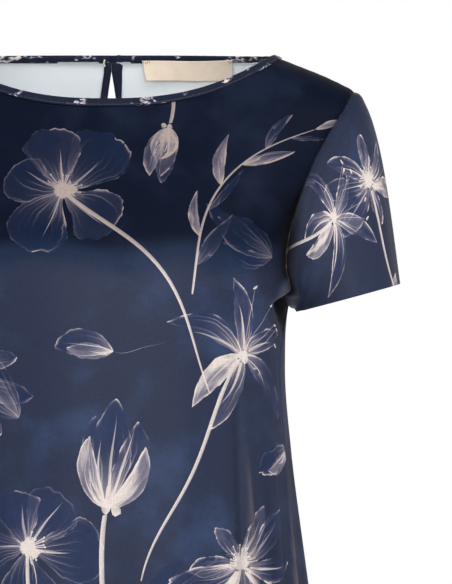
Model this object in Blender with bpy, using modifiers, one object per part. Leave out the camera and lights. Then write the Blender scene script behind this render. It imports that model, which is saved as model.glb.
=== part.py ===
"""A short-sleeved satin blouse, filled out as it is worn, with a boat neck and a keyhole at the back neck.

Units are metres, +Z is up, -Y is the garment's front, and the origin lies midway between the two points
where the neckline meets the shoulder seams, which is where the wearer's shoulders hold the blouse.
Every panel is a stretch of one smooth form. A point of the form is given by its turn, the angle round the
body from the centre front towards +X, and its height.
"""

import math

import bmesh
import bpy
import numpy as np
from mathutils import Vector

MM = 0.001

# ---- Driving sizes -------------------------------------------------------------------------------

CLOTH = 1.2 * MM
SEAM_GAP = 0.3 * MM
HALF_GAP = SEAM_GAP / 2

NECK_HALF_WIDTH = 138 * MM
NECK_DEPTH_FRONT = 39.5 * MM
NECK_RISE_BACK = 4.5 * MM
NECK_CURVE_POWER = 2.15
BINDING_WIDTH = 6.6 * MM
BINDING_PROUD = 0.5 * MM
BINDING_END_GAP = 0.6 * MM

SHOULDER_TIP_HEIGHT = -29.5 * MM
SHOULDER_SLOPE = 1 / 2.31
UNDERARM_HEIGHT = -208 * MM
ARMHOLE_FRONT_SCOOP = 56 * MM
ARMHOLE_BACK_SCOOP = 52 * MM
ARMHOLE_SQUARENESS = 0.8
ARMHOLE_END = 0.003
UNDERARM_FORWARD = 14 * MM
SIDE_SEAM_FORWARD = 50 * MM
SIDE_SEAM_SETTLES = 48 * MM
SIDE_SEAM_RETURN = 0.06
HEM_HEIGHT = -620 * MM

SLEEVE_HEM_OUTER = (244.5 * MM, -191 * MM)
SLEEVE_HEM_INNER = (157 * MM, -214.5 * MM)
SLEEVE_HEM_HALF_DEPTH = 57 * MM
SLEEVE_HEM_FORWARD = 3 * MM
SLEEVE_CAP_PULL = 0.45
SLEEVE_UNDER_PULL = 0.8
SLEEVE_HEM_PULL = 0.95

KEYHOLE_TOP = -3 * MM
KEYHOLE_BOTTOM = -92 * MM
KEYHOLE_HALF_WIDTH = 7.5 * MM
KEYHOLE_TOP_HALF_GAP = 0.35 * MM
KEYHOLE_BINDING = 5.6 * MM
KEYHOLE_TAPER_POWER = 1.2

LABEL_LEFT = 26.5 * MM
LABEL_RIGHT = 104.5 * MM
LABEL_TOP = 0.4 * MM
LABEL_HEIGHT = 17 * MM
LABEL_THICK = 1.0 * MM

BUTTON_RADIUS = 4.6 * MM
BUTTON_THICK = 1.9 * MM
BUTTON_SHANK_RADIUS = 1.2 * MM
BUTTON_SHANK_HEIGHT = 1.7 * MM
BUTTON_FROM_CENTRE = 6.2 * MM
LOOP_RADIUS = 0.45 * MM
LOOP_END_RADIUS = 0.8 * MM
LOOP_END_FROM_CENTRE = 5.6 * MM
LOOP_END_LENGTH = 6.5 * MM

# The form, a row for each height: half the width from side to side, how far the front and the back stand
# from the line through the shoulders, and the squareness of the section (2 is an ellipse). In millimetres.
FORM_COLUMNS = ("height", "half_width", "front", "back", "square")
FORM_ROWS = (
    (12, 110.3, 50, 58, 2.12),
    (0, 138.0, 59, 63, 2.15),
    (-8, 158.0, 62, 65, 2.12),
    (-16, 178.5, 65, 67, 2.08),
    (-24, 196.0, 68, 69, 2.04),
    (-29.5, 206.5, 70, 70, 2.02),
    (-36, 216.5, 72, 71, 2.00),
    (-45, 226.0, 75, 73, 1.99),
    (-60, 232.5, 80, 76, 1.98),
    (-76, 230.5, 86, 80, 1.98),
    (-95, 217.0, 95, 84, 2.00),
    (-118, 196.0, 107, 87, 2.06),
    (-150, 171.0, 121, 91, 2.18),
    (-180, 158.0, 128, 92, 2.28),
    (-210, 150.5, 130, 92, 2.36),
    (-260, 147.5, 130, 90, 2.38),
    (-330, 152.5, 129, 89, 2.34),
    (-400, 160.0, 129, 93, 2.30),
    (-480, 168.5, 130, 99, 2.26),
    (-560, 177.0, 132, 105, 2.22),
    (-620, 183.0, 134, 109, 2.20),
)

# The soft folds that hang from the bust and the shoulder blades: where round the body each one is and how
# wide (degrees), how far it stands out at the hem (negative for a trough), and the height it starts from.
FOLD_COLUMNS = ("turn", "width", "out", "top")
FOLD_ROWS = (
    (4, 12, -4.0, -330),
    (24, 11, 5.0, -260),
    (43, 10, -6.5, -225),
    (60, 9, 7.0, -215),
    (77, 9, -6.0, -240),
    (94, 9, 6.0, -230),
    (113, 11, -5.5, -250),
    (134, 11, 6.0, -230),
    (156, 12, -5.5, -250),
    (180, 12, 4.5, -300),
    (-155, 12, -6.0, -240),
    (-133, 11, 6.0, -230),
    (-112, 11, -5.0, -260),
    (-94, 9, 6.0, -240),
    (-78, 9, -6.5, -230),
    (-61, 9, 6.5, -225),
    (-43, 10, -6.0, -240),
    (-20, 12, 4.5, -280),
)
FOLD_FULL_DROP = 330 * MM

NECK_COLUMNS = 12
SHOULDER_COLUMNS = 4
SIDE_ROWS = 12
ARMHOLE_ROWS = 14
SLEEVE_ROWS = 7
KEYHOLE_STEPS = 10
KEYHOLE_ROUND_SHARE = 0.4
CENTRE_AT_UNDERARM_ROW = -325 * MM
TOP_BEND_POWER = 4

NAVY = (0.020, 0.030, 0.070, 1)
NAVY_DARK = (0.014, 0.020, 0.045, 1)
CREAM = (0.75, 0.66, 0.55, 1)

# ---- The form ------------------------------------------------------------------------------------


def column(rows, columns, name):
    """One named column of a table, as an array."""
    return np.array([row[columns.index(name)] for row in rows], float)


def smooth_between(at, places, values):
    """A cubic through the values at rising places, with each slope the mean of its two neighbours'."""
    slopes = np.gradient(values, places)
    i = np.clip(np.searchsorted(places, at) - 1, 0, len(places) - 2)
    step = places[i + 1] - places[i]
    t = (at - places[i]) / step
    rise, level = t * t * (3 - 2 * t), t * (1 - t)
    return (
        values[i] * (1 - rise)
        + values[i + 1] * rise
        + step * level * (slopes[i] * (1 - t) - slopes[i + 1] * t)
    )


def form_value(name, height):
    """One column of the form's table at these heights, lengths in metres."""
    places = column(FORM_ROWS, FORM_COLUMNS, "height")[::-1] * MM
    unit = 1.0 if name == "square" else MM
    return smooth_between(height, places, column(FORM_ROWS, FORM_COLUMNS, name)[::-1] * unit)


def smooth_step(t):
    t = np.clip(t, 0, 1)
    return t * t * (3 - 2 * t)


def fold_out(turn, height):
    """How far the folds push the cloth out, which grows from each fold's top down to the hem."""
    total = np.zeros(np.broadcast(turn, height).shape)
    for centre, width, out, top in FOLD_ROWS:
        away = (np.degrees(turn) - centre + 180) % 360 - 180
        grown = np.clip((top * MM - height) / FOLD_FULL_DROP, 0, 1.3) ** 1.3
        total = total + out * MM * grown * np.exp(-((away / width) ** 2))
    return total


def on_form(turn, height):
    """The point of the form at this turn and height: a superellipse section, pushed out by the folds."""
    half_width = form_value("half_width", height)
    depth = np.where(np.cos(turn) > 0, form_value("front", height), form_value("back", height))
    power = form_value("square", height)
    across, ahead = np.abs(np.sin(turn) / half_width), np.abs(np.cos(turn) / depth)
    reach = (across**power + ahead**power) ** (-1 / power) + fold_out(turn, height)
    return np.stack([reach * np.sin(turn), -reach * np.cos(turn), height + 0 * turn], axis=-1)


def unit(vectors):
    return vectors / np.maximum(np.linalg.norm(vectors, axis=-1, keepdims=True), 1e-12)


def form_normal(turn, height):
    """The form's outward normal, from points a little to each side."""
    step_turn, step_height = 0.004, 0.4 * MM
    round_it = on_form(turn + step_turn, height) - on_form(turn - step_turn, height)
    up_it = on_form(turn, height + step_height) - on_form(turn, height - step_height)
    return unit(np.cross(round_it, up_it))


def turn_at_depth(y, height):
    """The turn where the form without folds lies at this depth, on the +X side."""
    depth = np.where(y < 0, form_value("front", height), form_value("back", height))
    power = form_value("square", height)
    x = form_value("half_width", height) * (1 - np.minimum(np.abs(y) / depth, 1) ** power) ** (1 / power)
    return np.arctan2(x, -y)


def turn_at_width(x, height, front):
    """The turn where the form without folds lies this far from the centre line, in front or behind."""
    depth = form_value("front" if front else "back", height)
    power = form_value("square", height)
    share = np.clip(np.abs(x) / form_value("half_width", height), 0, 1)
    y = depth * (1 - share**power) ** (1 / power)
    return np.arctan2(x, y if front else -y)


# ---- The seam lines, as (turn, height) pairs -----------------------------------------------------


def pairs(turn, height):
    return np.stack(np.broadcast_arrays(turn, height), axis=-1).astype(float)


def neck_line(share, inset, front):
    """The neckline, or a line inset below it, from the centre (share 0) to the shoulder seam (share 1)."""
    end = -inset * SHOULDER_SLOPE
    half_width = form_value("half_width", np.array([end]))[0]
    middle = (-NECK_DEPTH_FRONT if front else NECK_RISE_BACK) - inset
    x = half_width * np.sin(share * math.pi / 2)
    height = end + (middle - end) * (1 - (x / half_width) ** NECK_CURVE_POWER)
    seam = turn_at_depth(-HALF_GAP if front else HALF_GAP, height)
    turn = turn_at_width(x, height, front)
    return pairs(np.minimum(turn, seam) if front else np.maximum(turn, seam), height)


def armhole_line(angle):
    """The armhole, an ellipse seen from the side: angle 0 is its top, 90 degrees its front, 180 its foot."""
    middle = (SHOULDER_TIP_HEIGHT + UNDERARM_HEIGHT) / 2
    half_height = (SHOULDER_TIP_HEIGHT - UNDERARM_HEIGHT) / 2
    height = middle + half_height * np.cos(angle)
    scoop = np.where(np.sin(angle) > 0, ARMHOLE_FRONT_SCOOP, -ARMHOLE_BACK_SCOOP)
    low = (1 - np.cos(angle)) / 2
    power = ARMHOLE_SQUARENESS * (1 - low) + low
    y = -scoop * np.abs(np.sin(angle)) ** power - UNDERARM_FORWARD * low
    return pairs(turn_at_depth(y, height), height)


def side_line(height, towards):
    """The side seam, which starts at the underarm and comes forward below it."""
    below = UNDERARM_HEIGHT - height
    drop = smooth_step(below / SIDE_SEAM_SETTLES)
    y = -UNDERARM_FORWARD - (SIDE_SEAM_FORWARD - UNDERARM_FORWARD) * drop + SIDE_SEAM_RETURN * below
    return pairs(turn_at_depth(y + towards, height), height)


def keyhole_path(steps, inset):
    """(x, height) points from the keyhole's bottom up its +X side, set sideways into the panel by inset."""
    curve_steps = round(steps * KEYHOLE_ROUND_SHARE)
    around = np.linspace(0, math.pi / 2, curve_steps + 1)
    radius = KEYHOLE_HALF_WIDTH + inset
    middle = KEYHOLE_BOTTOM + KEYHOLE_HALF_WIDTH
    up = np.linspace(0, 1, steps - curve_steps + 1)[1:]
    taper = np.cos(up * math.pi / 2) ** KEYHOLE_TAPER_POWER
    x = KEYHOLE_TOP_HALF_GAP + (KEYHOLE_HALF_WIDTH - KEYHOLE_TOP_HALF_GAP) * taper + inset
    round_end = np.stack([radius * np.sin(around), middle - radius * np.cos(around)], axis=-1)
    return np.concatenate([round_end, np.stack([x, middle + (KEYHOLE_TOP - middle) * up], axis=-1)])


# ---- Walls of cloth ------------------------------------------------------------------------------


def patch(bottom, top, inner, side):
    """A grid of (turn, height) pairs between four edges. The top edge's own shape soon dies out below it."""
    u = np.linspace(0, 1, len(bottom))[None, :, None]
    v = np.linspace(0, 1, len(inner))[:, None, None]
    between = (1 - u) * inner[:, None] + u * side[:, None]
    bottom_bend = bottom - ((1 - u[0]) * bottom[0] + u[0] * bottom[-1])
    top_bend = top - ((1 - u[0]) * top[0] + u[0] * top[-1])
    return between + (1 - v) * bottom_bend[None] + v**TOP_BEND_POWER * top_bend[None]


def grid_quads(rows, columns, start=0, ring=False):
    """Index quads over a grid of points, row by row; a ring also joins its last column to its first."""
    i, j = np.meshgrid(np.arange(rows - 1), np.arange(columns if ring else columns - 1), indexing="ij")
    k = (j + 1) % columns
    quads = np.stack([i * columns + j, i * columns + k, (i + 1) * columns + k, (i + 1) * columns + j], -1)
    return quads.reshape(-1, 4) + start


def split(quads, points):
    """Each quad as two triangles, cut along its shorter diagonal, so that a wall's two faces bend alike."""
    a, b, c, d = points[quads].transpose(1, 0, 2)
    swap = np.linalg.norm(a - c, axis=1) > np.linalg.norm(b - d, axis=1)
    quads = np.where(swap[:, None], np.roll(quads, -1, axis=1), quads)
    return np.concatenate([quads[:, [0, 1, 2]], quads[:, [0, 2, 3]]])


def wall_object(name, outer, inner, quads, colour, roughness=0.4):
    """A closed wall: the outer face as the quads run, the inner one turned, and a rim on each free edge."""
    count = len(outer)
    cloth = split(quads, outer)
    edges = np.concatenate([quads[:, [k, (k + 1) % 4]] for k in range(4)])
    _, first, uses = np.unique(np.sort(edges, axis=1), axis=0, return_index=True, return_counts=True)
    free = edges[first[uses == 1]]
    rims = np.stack([free[:, 1], free[:, 0], free[:, 0] + count, free[:, 1] + count], axis=-1)
    points = np.concatenate([outer, inner])
    faces = np.concatenate([cloth, cloth[:, ::-1] + count, split(rims, points)])
    mesh = bpy.data.meshes.new(name)
    mesh.from_pydata(points.tolist(), [], faces.tolist())
    bm = bmesh.new()
    bm.from_mesh(mesh)
    bmesh.ops.remove_doubles(bm, verts=bm.verts, dist=0.01 * MM)
    bmesh.ops.recalc_face_normals(bm, faces=bm.faces)
    bm.to_mesh(mesh)
    bm.free()
    mesh.shade_smooth()
    mesh.set_sharp_from_angle(angle=math.radians(50))
    return place(bpy.data.objects.new(name, mesh), colour, roughness)


def place(obj, colour, roughness):
    """Puts the object into the blouse's collection and gives it a plain material of its own."""
    GARMENT.objects.link(obj)
    material = bpy.data.materials.new(obj.name)
    material.use_nodes = True
    shader = material.node_tree.nodes["Principled BSDF"]
    shader.inputs["Base Color"].default_value = colour
    shader.inputs["Roughness"].default_value = roughness
    obj.data.materials.append(material)
    return obj


def merged(points, quads):
    """Points that coincide made one, and the quads told so."""
    keys = np.round(points / (0.02 * MM))
    _, first, index = np.unique(keys, axis=0, return_index=True, return_inverse=True)
    return first, index.reshape(-1)[quads]


def body_panel(name, front):
    """The front or back panel: its two halves as grids on the form, with the armhole edges mitred."""
    turns = [half_panel(front, side) for side in (1, -1)]
    outer = np.concatenate([points for points, _ in turns])
    inner = np.concatenate([points - CLOTH * lean for points, lean in turns])
    rows, columns = SIDE_ROWS + ARMHOLE_ROWS + 1, NECK_COLUMNS + SHOULDER_COLUMNS + 1
    right = grid_quads(rows, columns)
    left = grid_quads(rows, columns, start=rows * columns)[:, ::-1]
    quads = np.concatenate([right, left])
    if not front:
        quads = quads[:, ::-1]
    first, quads = merged(outer, quads)
    return wall_object(name, outer[first], inner[first], quads, NAVY)


def half_panel(front, side):
    """(points, directions to thicken against) of half a body panel, on the +X (1) or -X (-1) side."""
    towards = -HALF_GAP if front else HALF_GAP
    neck = neck_line(np.linspace(0, 1, NECK_COLUMNS + 1), BINDING_WIDTH + SEAM_GAP, front)
    armhole_angles = np.linspace(math.pi, 0, ARMHOLE_ROWS + 1)
    armhole_angles[[0, -1]] += (-ARMHOLE_END, ARMHOLE_END)
    armhole_angles *= 1 if front else -1
    armhole = armhole_line(armhole_angles)
    down_side = np.linspace(HEM_HEIGHT, UNDERARM_HEIGHT, SIDE_ROWS + 1)
    seam = side_line(down_side, towards)
    seam_edge = np.concatenate([seam[:-1], armhole])
    shoulder_height = np.linspace(neck[-1, 1], armhole[-1, 1], SHOULDER_COLUMNS + 1)
    shoulder = pairs(turn_at_depth(towards + 0 * shoulder_height, shoulder_height), shoulder_height)
    shoulder[-1] = armhole[-1]
    if front:
        centre = pairs(0.0, centre_heights(neck[0, 1], SIDE_ROWS + ARMHOLE_ROWS))
    else:
        centre, neck = keyhole_edge(neck)
    top = np.concatenate([neck, shoulder[1:]])
    bottom = pairs(np.linspace(centre[0, 0], seam_edge[0, 0], len(top)), HEM_HEIGHT)
    grid = patch(bottom, top, centre, seam_edge)
    turn, height = side * grid[..., 0], grid[..., 1]
    points, lean = on_form(turn, height), form_normal(turn, height)
    mitre, leave, _ = armhole_seam(armhole_angles, side)
    lean[SIDE_ROWS:, -1] = mitre
    points[SIDE_ROWS:, -1] -= leave
    return points.reshape(-1, 3), lean.reshape(-1, 3)


def keyhole_edge(neck):
    """The back's centre edge, up the middle and round the keyhole, and its neckline cut to start there."""
    rows_below = SIDE_ROWS + ARMHOLE_ROWS - KEYHOLE_STEPS
    path = keyhole_path(KEYHOLE_STEPS, KEYHOLE_BINDING + SEAM_GAP)
    low = centre_heights(path[0, 1], rows_below)[:-1]
    path[-1, 1] = neck[0, 1]
    centre = np.concatenate(
        [pairs(math.pi, low), pairs(turn_at_width(path[:, 0], path[:, 1], False), path[:, 1])]
    )
    cut = neck_line(back_neck_shares(), BINDING_WIDTH + SEAM_GAP, False)
    centre[-1] = cut[0]
    return centre, cut


def centre_heights(top, rows):
    """Heights up the centre of a panel, with the row that ends at the underarm well below it."""
    below = np.linspace(HEM_HEIGHT, CENTRE_AT_UNDERARM_ROW, SIDE_ROWS + 1)
    return np.concatenate([below[:-1], np.linspace(CENTRE_AT_UNDERARM_ROW, top, rows - SIDE_ROWS + 1)])


def share_at(x):
    """The neckline's share at this distance from the centre line."""
    return math.asin(x / NECK_HALF_WIDTH) / (math.pi / 2)


def back_neck_shares():
    """The shares of the back panel's neckline points, from the keyhole's edge to the shoulder seam."""
    start = share_at(KEYHOLE_TOP_HALF_GAP + KEYHOLE_BINDING + SEAM_GAP)
    return start + (1 - start) * np.linspace(0, 1, NECK_COLUMNS + 1)


# ---- Sleeves -------------------------------------------------------------------------------------


def sleeve_points(angle, down, side):
    """A sleeve: from each point of the armhole (down 0) a curve leaves sideways and bends to the hem (1).
    The cap carries on smoothly from the shoulder, and the underside leaves at an angle of its own."""
    line = armhole_line(angle)
    start = on_form(line[..., 0], line[..., 1])
    outer, inner = np.array(SLEEVE_HEM_OUTER), np.array(SLEEVE_HEM_INNER)
    middle, reach = (outer + inner) / 2, (outer - inner) / 2
    across = np.cos(angle)
    end = np.stack(
        [
            middle[0] + reach[0] * across,
            -SLEEVE_HEM_FORWARD - SLEEVE_HEM_HALF_DEPTH * np.sin(angle),
            middle[1] + reach[1] * across,
        ],
        axis=-1,
    )
    long = np.linalg.norm(end - start, axis=-1, keepdims=True)
    cap = (1 + across)[..., None] / 2
    under = unit(np.stack([0.72 + 0.12 * across, -0.30 * np.sin(angle), -0.58 + 0.08 * across], axis=-1))
    leave = unit(across_armhole(angle)[1] * cap + under * (1 - cap))
    arrive = unit(np.stack([0.14 + 0 * across, 0 * across, -1 + 0 * across], axis=-1))
    t = down[..., None]
    rise, level = t * t * (3 - 2 * t), t * (1 - t)
    pull = SLEEVE_CAP_PULL * cap + SLEEVE_UNDER_PULL * (1 - cap)
    bend = pull * leave * (1 - t) - SLEEVE_HEM_PULL * arrive * t
    return (start * (1 - rise) + end * rise + level * long * bend) * np.array([side, 1, 1])


def sleeve_normal(angle, down, side):
    """The sleeve's outward normal, from points a little to each side."""
    round_it = sleeve_points(angle + 0.01, down, side) - sleeve_points(angle - 0.01, down, side)
    along_it = sleeve_points(angle, down + 0.01, side) - sleeve_points(angle, down - 0.01, side)
    return side * unit(np.cross(round_it, along_it))


def across_armhole(angle):
    """Three directions at these places of the +X armhole: the body's outward normal, the way out along the
    body across the armhole, and the way along the armhole."""
    line = armhole_line(angle)
    ahead, behind = armhole_line(angle + 0.01), armhole_line(angle - 0.01)
    along = on_form(ahead[..., 0], ahead[..., 1]) - on_form(behind[..., 0], behind[..., 1])
    normal = form_normal(line[..., 0], line[..., 1])
    return normal, unit(np.cross(normal, along)), unit(along)


def armhole_seam(angle, side):
    """How the two walls meet at the armhole: the direction that both are thickened in, and how far the body
    and the sleeve each draw back from the seam."""
    body, out, along = across_armhole(angle)
    flip = np.array([side, 1, 1])
    body, out = body * flip, out * flip
    sleeve_out_normal = sleeve_normal(angle, 0 * angle, side)
    down_sleeve = side * unit(np.cross(sleeve_out_normal, along * flip))
    likeness = (body * sleeve_out_normal).sum(axis=-1, keepdims=True)
    mitre = (body + sleeve_out_normal) / np.maximum(1 + likeness, 0.6)
    share = HALF_GAP / np.sqrt(np.maximum((1 + likeness) / 2, 0.15))
    return mitre, out * share, down_sleeve * share


def sleeve(name, side):
    """A short set-in sleeve, a ring of cloth from the armhole seam to its hem."""
    angle = np.linspace(0, 2 * math.pi, 2 * ARMHOLE_ROWS, endpoint=False)[None, :]
    down = (np.linspace(0, 1, SLEEVE_ROWS + 1) ** 1.15)[:, None]
    angle, down = np.broadcast_arrays(angle, down)
    points = sleeve_points(angle, down, side)
    lean = sleeve_normal(angle, down, side)
    lean[0], _, leave = armhole_seam(angle[0], side)
    points[0] += leave
    quads = grid_quads(SLEEVE_ROWS + 1, 2 * ARMHOLE_ROWS, ring=True)
    outer = points.reshape(-1, 3)
    return wall_object(name, outer, outer - CLOTH * lean.reshape(-1, 3), quads, NAVY)


# ---- Trim ----------------------------------------------------------------------------------------


def strip_wall(name, rows, colour):
    """A bound strip from (turn, height) lines across its width: fuller than the cloth, and rounded."""
    across = np.linspace(0, 1, len(rows))
    proud = BINDING_PROUD * np.sin(math.pi * np.clip(across * 0.9 + 0.05, 0, 1)) ** 0.5
    points = [on_form(row[:, 0], row[:, 1]) for row in rows]
    normals = [form_normal(row[:, 0], row[:, 1]) for row in rows]
    outer = np.concatenate([p + n * d for p, n, d in zip(points, normals, proud)])
    inner = np.concatenate([p - n * (CLOTH + d) for p, n, d in zip(points, normals, proud)])
    quads = grid_quads(len(rows), len(rows[0]))
    return wall_object(name, outer, inner, quads, colour)


def neck_binding():
    """The bias strip round the neck, from the centre back round the front and back again."""
    rows = []
    back_shares = np.concatenate([[share_at(BINDING_END_GAP / 2)], back_neck_shares()])
    for inset in np.linspace(BINDING_WIDTH, 0, 5):
        front = neck_line(np.linspace(0, 1, NECK_COLUMNS + 1), inset, True)
        back = neck_line(back_shares, inset, False)
        half = np.concatenate([front[:-1], back[::-1]])
        mirrored = half[:0:-1] * np.array([-1, 1])
        rows.append(np.concatenate([mirrored, half]))
    return strip_wall("neck_binding", rows, NAVY_DARK)


def keyhole_binding():
    """The bias strip down one side of the keyhole, round its bottom and up the other."""
    rows = []
    for inset in np.linspace(KEYHOLE_BINDING, 0, 5):
        path = keyhole_path(KEYHOLE_STEPS, inset)
        path[-1, 1] = NECK_RISE_BACK - BINDING_WIDTH - 2 * SEAM_GAP
        turn = turn_at_width(path[:, 0], path[:, 1], False)
        half = pairs(turn, path[:, 1])
        mirrored = half[:0:-1] * np.array([-1, 1])
        rows.append(np.concatenate([mirrored, half]))
    return strip_wall("keyhole_binding", rows, NAVY_DARK)


def label():
    """The bare label inside the back neck, which follows the back's curve just clear of it."""
    x = np.linspace(LABEL_LEFT, LABEL_RIGHT, 15)[None, :]
    height = np.linspace(LABEL_TOP - LABEL_HEIGHT, LABEL_TOP, 4)[:, None]
    x, height = np.broadcast_arrays(x, height)
    turn = turn_at_width(x, height, False)
    points, normals = on_form(turn, height), form_normal(turn, height)
    clear = CLOTH + BINDING_PROUD + SEAM_GAP
    outer = (points - normals * clear).reshape(-1, 3)
    inner = (points - normals * (clear + LABEL_THICK)).reshape(-1, 3)
    return wall_object("label", outer, inner, grid_quads(4, 15), CREAM, 0.6)


def button():
    """A small round button on a shank, on the outside of the binding's +X end."""
    rim = 0.35 * BUTTON_THICK
    base, top = 0.0, BUTTON_SHANK_HEIGHT + BUTTON_THICK
    profile = (
        (0, top - 0.25 * rim),
        (0.55 * BUTTON_RADIUS, top - rim),
        (0.72 * BUTTON_RADIUS, top),
        (0.88 * BUTTON_RADIUS, top),
        (BUTTON_RADIUS, top - rim),
        (BUTTON_RADIUS, BUTTON_SHANK_HEIGHT + rim),
        (0.85 * BUTTON_RADIUS, BUTTON_SHANK_HEIGHT),
        (BUTTON_SHANK_RADIUS, BUTTON_SHANK_HEIGHT),
        (BUTTON_SHANK_RADIUS, base),
        (0, base),
    )
    mesh = bpy.data.meshes.new("button")
    mesh.from_pydata([(r, 0, z) for r, z in profile], [(k, k + 1) for k in range(len(profile) - 1)], [])
    obj = place(bpy.data.objects.new("button", mesh), NAVY_DARK, 0.3)
    screw = obj.modifiers.new("turned", "SCREW")
    screw.steps = screw.render_steps = 20
    screw.use_merge_vertices = True
    screw.merge_threshold = 0.01 * MM
    mesh.shade_smooth()
    spot, normal = closure_spot()
    obj.location = spot
    obj.rotation_mode = "QUATERNION"
    obj.rotation_quaternion = normal.to_track_quat("Z", "Y")
    return obj


def closure_spot():
    """(place, outward normal) where the button's shank stands, just clear of the binding."""
    height = np.array([NECK_RISE_BACK - BINDING_WIDTH / 2])
    turn = turn_at_width(np.array([BUTTON_FROM_CENTRE]), height, False)
    normal = form_normal(turn, height)[0]
    spot = on_form(turn, height)[0] + normal * (BINDING_PROUD + SEAM_GAP)
    return Vector(spot), Vector(normal)


def cord(name, x, height, lift, radius):
    """A thread tube through these places of the back, this far off it (negative lies inside)."""
    curve = bpy.data.curves.new(name, "CURVE")
    curve.dimensions = "3D"
    curve.bevel_depth = radius
    curve.bevel_resolution = 1
    curve.use_fill_caps = True
    turn = turn_at_width(x, height, False)
    path = on_form(turn, height) + form_normal(turn, height) * lift
    spline = curve.splines.new("POLY")
    spline.points.add(len(path) - 1)
    for point, co in zip(spline.points, path):
        point.co = (*co, 1)
    return place(bpy.data.objects.new(name, curve), NAVY_DARK, 0.6)


def button_loop():
    """The thread loop from the binding's -X end round the button's shank."""
    around = BUTTON_SHANK_RADIUS + LOOP_RADIUS + SEAM_GAP
    angles = np.radians(np.linspace(-90, 90, 11))
    far = -BUTTON_FROM_CENTRE - 3.5 * MM
    bend = np.stack([around * np.cos(angles), around * np.sin(angles)], axis=-1)
    flat = np.concatenate([[(far, -around), (far / 2, -around)], bend, [(far / 2, around), (far, around)]])
    middle = NECK_RISE_BACK - BINDING_WIDTH / 2
    lift = BINDING_PROUD + SEAM_GAP + LOOP_RADIUS
    return cord("button_loop", flat[:, 0] + BUTTON_FROM_CENTRE, flat[:, 1] + middle, lift, LOOP_RADIUS)


def loop_end():
    """The loop's stitched-down end, which hangs inside the binding beside the keyhole."""
    down = np.linspace(0, 1, 6)
    x = -LOOP_END_FROM_CENTRE - 0.8 * MM * np.sin(down * math.pi)
    height = NECK_RISE_BACK - 2.5 * MM - LOOP_END_LENGTH * down
    lift = -(CLOTH + BINDING_PROUD + SEAM_GAP + LOOP_END_RADIUS + 0.3 * MM)
    return cord("loop_end", x, height, lift, LOOP_END_RADIUS)


# ---- The blouse ----------------------------------------------------------------------------------

for old in list(bpy.data.objects):
    bpy.data.objects.remove(old)

GARMENT = bpy.data.collections.new("blouse")
bpy.context.scene.collection.children.link(GARMENT)

body_panel("front", True)
body_panel("back", False)
sleeve("sleeve_right", 1)
sleeve("sleeve_left", -1)
neck_binding()
keyhole_binding()
label()
button()
button_loop()
loop_end()
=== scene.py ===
"""The looks of a short-sleeved satin blouse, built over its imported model.

Units are metres, +Z is up and -Y is the blouse's front. Every panel is a stretch of one smooth form. A point
of the form is given by its turn, the angle round the body from the centre front towards +X, and its height.
The print is drawn on the cloth itself: each stroke of a flower is a short path in the cloth's own
coordinates, and the materials read how far along and across its path each point of the cloth lies.
"""

import logging
import math
from dataclasses import dataclass, field, replace
from enum import Enum

import bpy
import numpy as np
from bpy.types import Material, Mesh, Node, NodeSocket, NodeTree
from bpy.types import Object as Piece
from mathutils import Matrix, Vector
from numpy import ndarray as Array


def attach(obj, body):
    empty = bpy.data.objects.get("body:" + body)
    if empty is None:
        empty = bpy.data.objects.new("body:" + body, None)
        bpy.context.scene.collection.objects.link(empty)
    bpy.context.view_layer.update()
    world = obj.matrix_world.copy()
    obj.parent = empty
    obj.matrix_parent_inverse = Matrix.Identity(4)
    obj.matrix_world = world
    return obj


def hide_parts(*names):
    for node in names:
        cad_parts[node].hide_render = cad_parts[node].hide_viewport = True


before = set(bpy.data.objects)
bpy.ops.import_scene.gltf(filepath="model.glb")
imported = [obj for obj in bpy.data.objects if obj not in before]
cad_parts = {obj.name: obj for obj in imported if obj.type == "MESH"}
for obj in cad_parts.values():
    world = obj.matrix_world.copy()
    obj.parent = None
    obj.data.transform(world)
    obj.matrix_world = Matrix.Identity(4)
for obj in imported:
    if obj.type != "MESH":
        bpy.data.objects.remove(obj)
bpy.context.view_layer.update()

MM = 0.001
LOG = logging.getLogger("blouse")


class Side(Enum):
    """The blouse's two sides, as the sign of X."""

    RIGHT = 1
    LEFT = -1


class Panel(Enum):
    """The two body panels."""

    FRONT = "front"
    BACK = "back"


class Motif(Enum):
    """The kinds of printed flower."""

    COSMOS = "cosmos"
    WILD_ROSE = "wild_rose"
    TULIP = "tulip"
    SPRIG = "sprig"
    BUD = "bud"
    LILY = "lily"
    PETAL = "petal"
    GHOST = "ghost"


# ---- Arrays ----


def unit(vectors: Array) -> Array:
    """Each vector divided by its own length."""
    return vectors / np.maximum(np.linalg.norm(vectors, axis=-1, keepdims=True), 1e-12)


def smooth_step(t: Array) -> Array:
    """3 t squared less 2 t cubed, between 0 and 1."""
    t = np.clip(t, 0, 1)
    return t * t * (3 - 2 * t)


def bell(t: Array) -> Array:
    """e to the power of minus t squared."""
    return np.exp(-(t**2))


def smooth_between(at: Array, places: Array, values: Array) -> Array:
    """A cubic through the values at rising places, with each slope the mean of its two neighbours'.

    Args:
        at: Where the cubic is wanted.
        places: The rising places of the values.
        values: One value for each place.

    Returns:
        The cubic's values, in the shape of at.
    """
    slopes = np.gradient(values, places)
    i = np.clip(np.searchsorted(places, at) - 1, 0, len(places) - 2)
    step = places[i + 1] - places[i]
    t = (at - places[i]) / step
    rise, level = t * t * (3 - 2 * t), t * (1 - t)
    bent = step * level * (slopes[i] * (1 - t) - slopes[i + 1] * t)
    return values[i] * (1 - rise) + values[i + 1] * rise + bent


def even_turns(count: int) -> Array:
    """So many even steps of a full turn, from 0."""
    return np.linspace(0, 2 * math.pi, count, endpoint=False)


def rotation(degrees: float) -> Array:
    """The matrix that turns rows of (across, up) pairs from across towards up."""
    angle = math.radians(degrees)
    return np.array([[math.cos(angle), math.sin(angle)], [-math.sin(angle), math.cos(angle)]])


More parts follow.
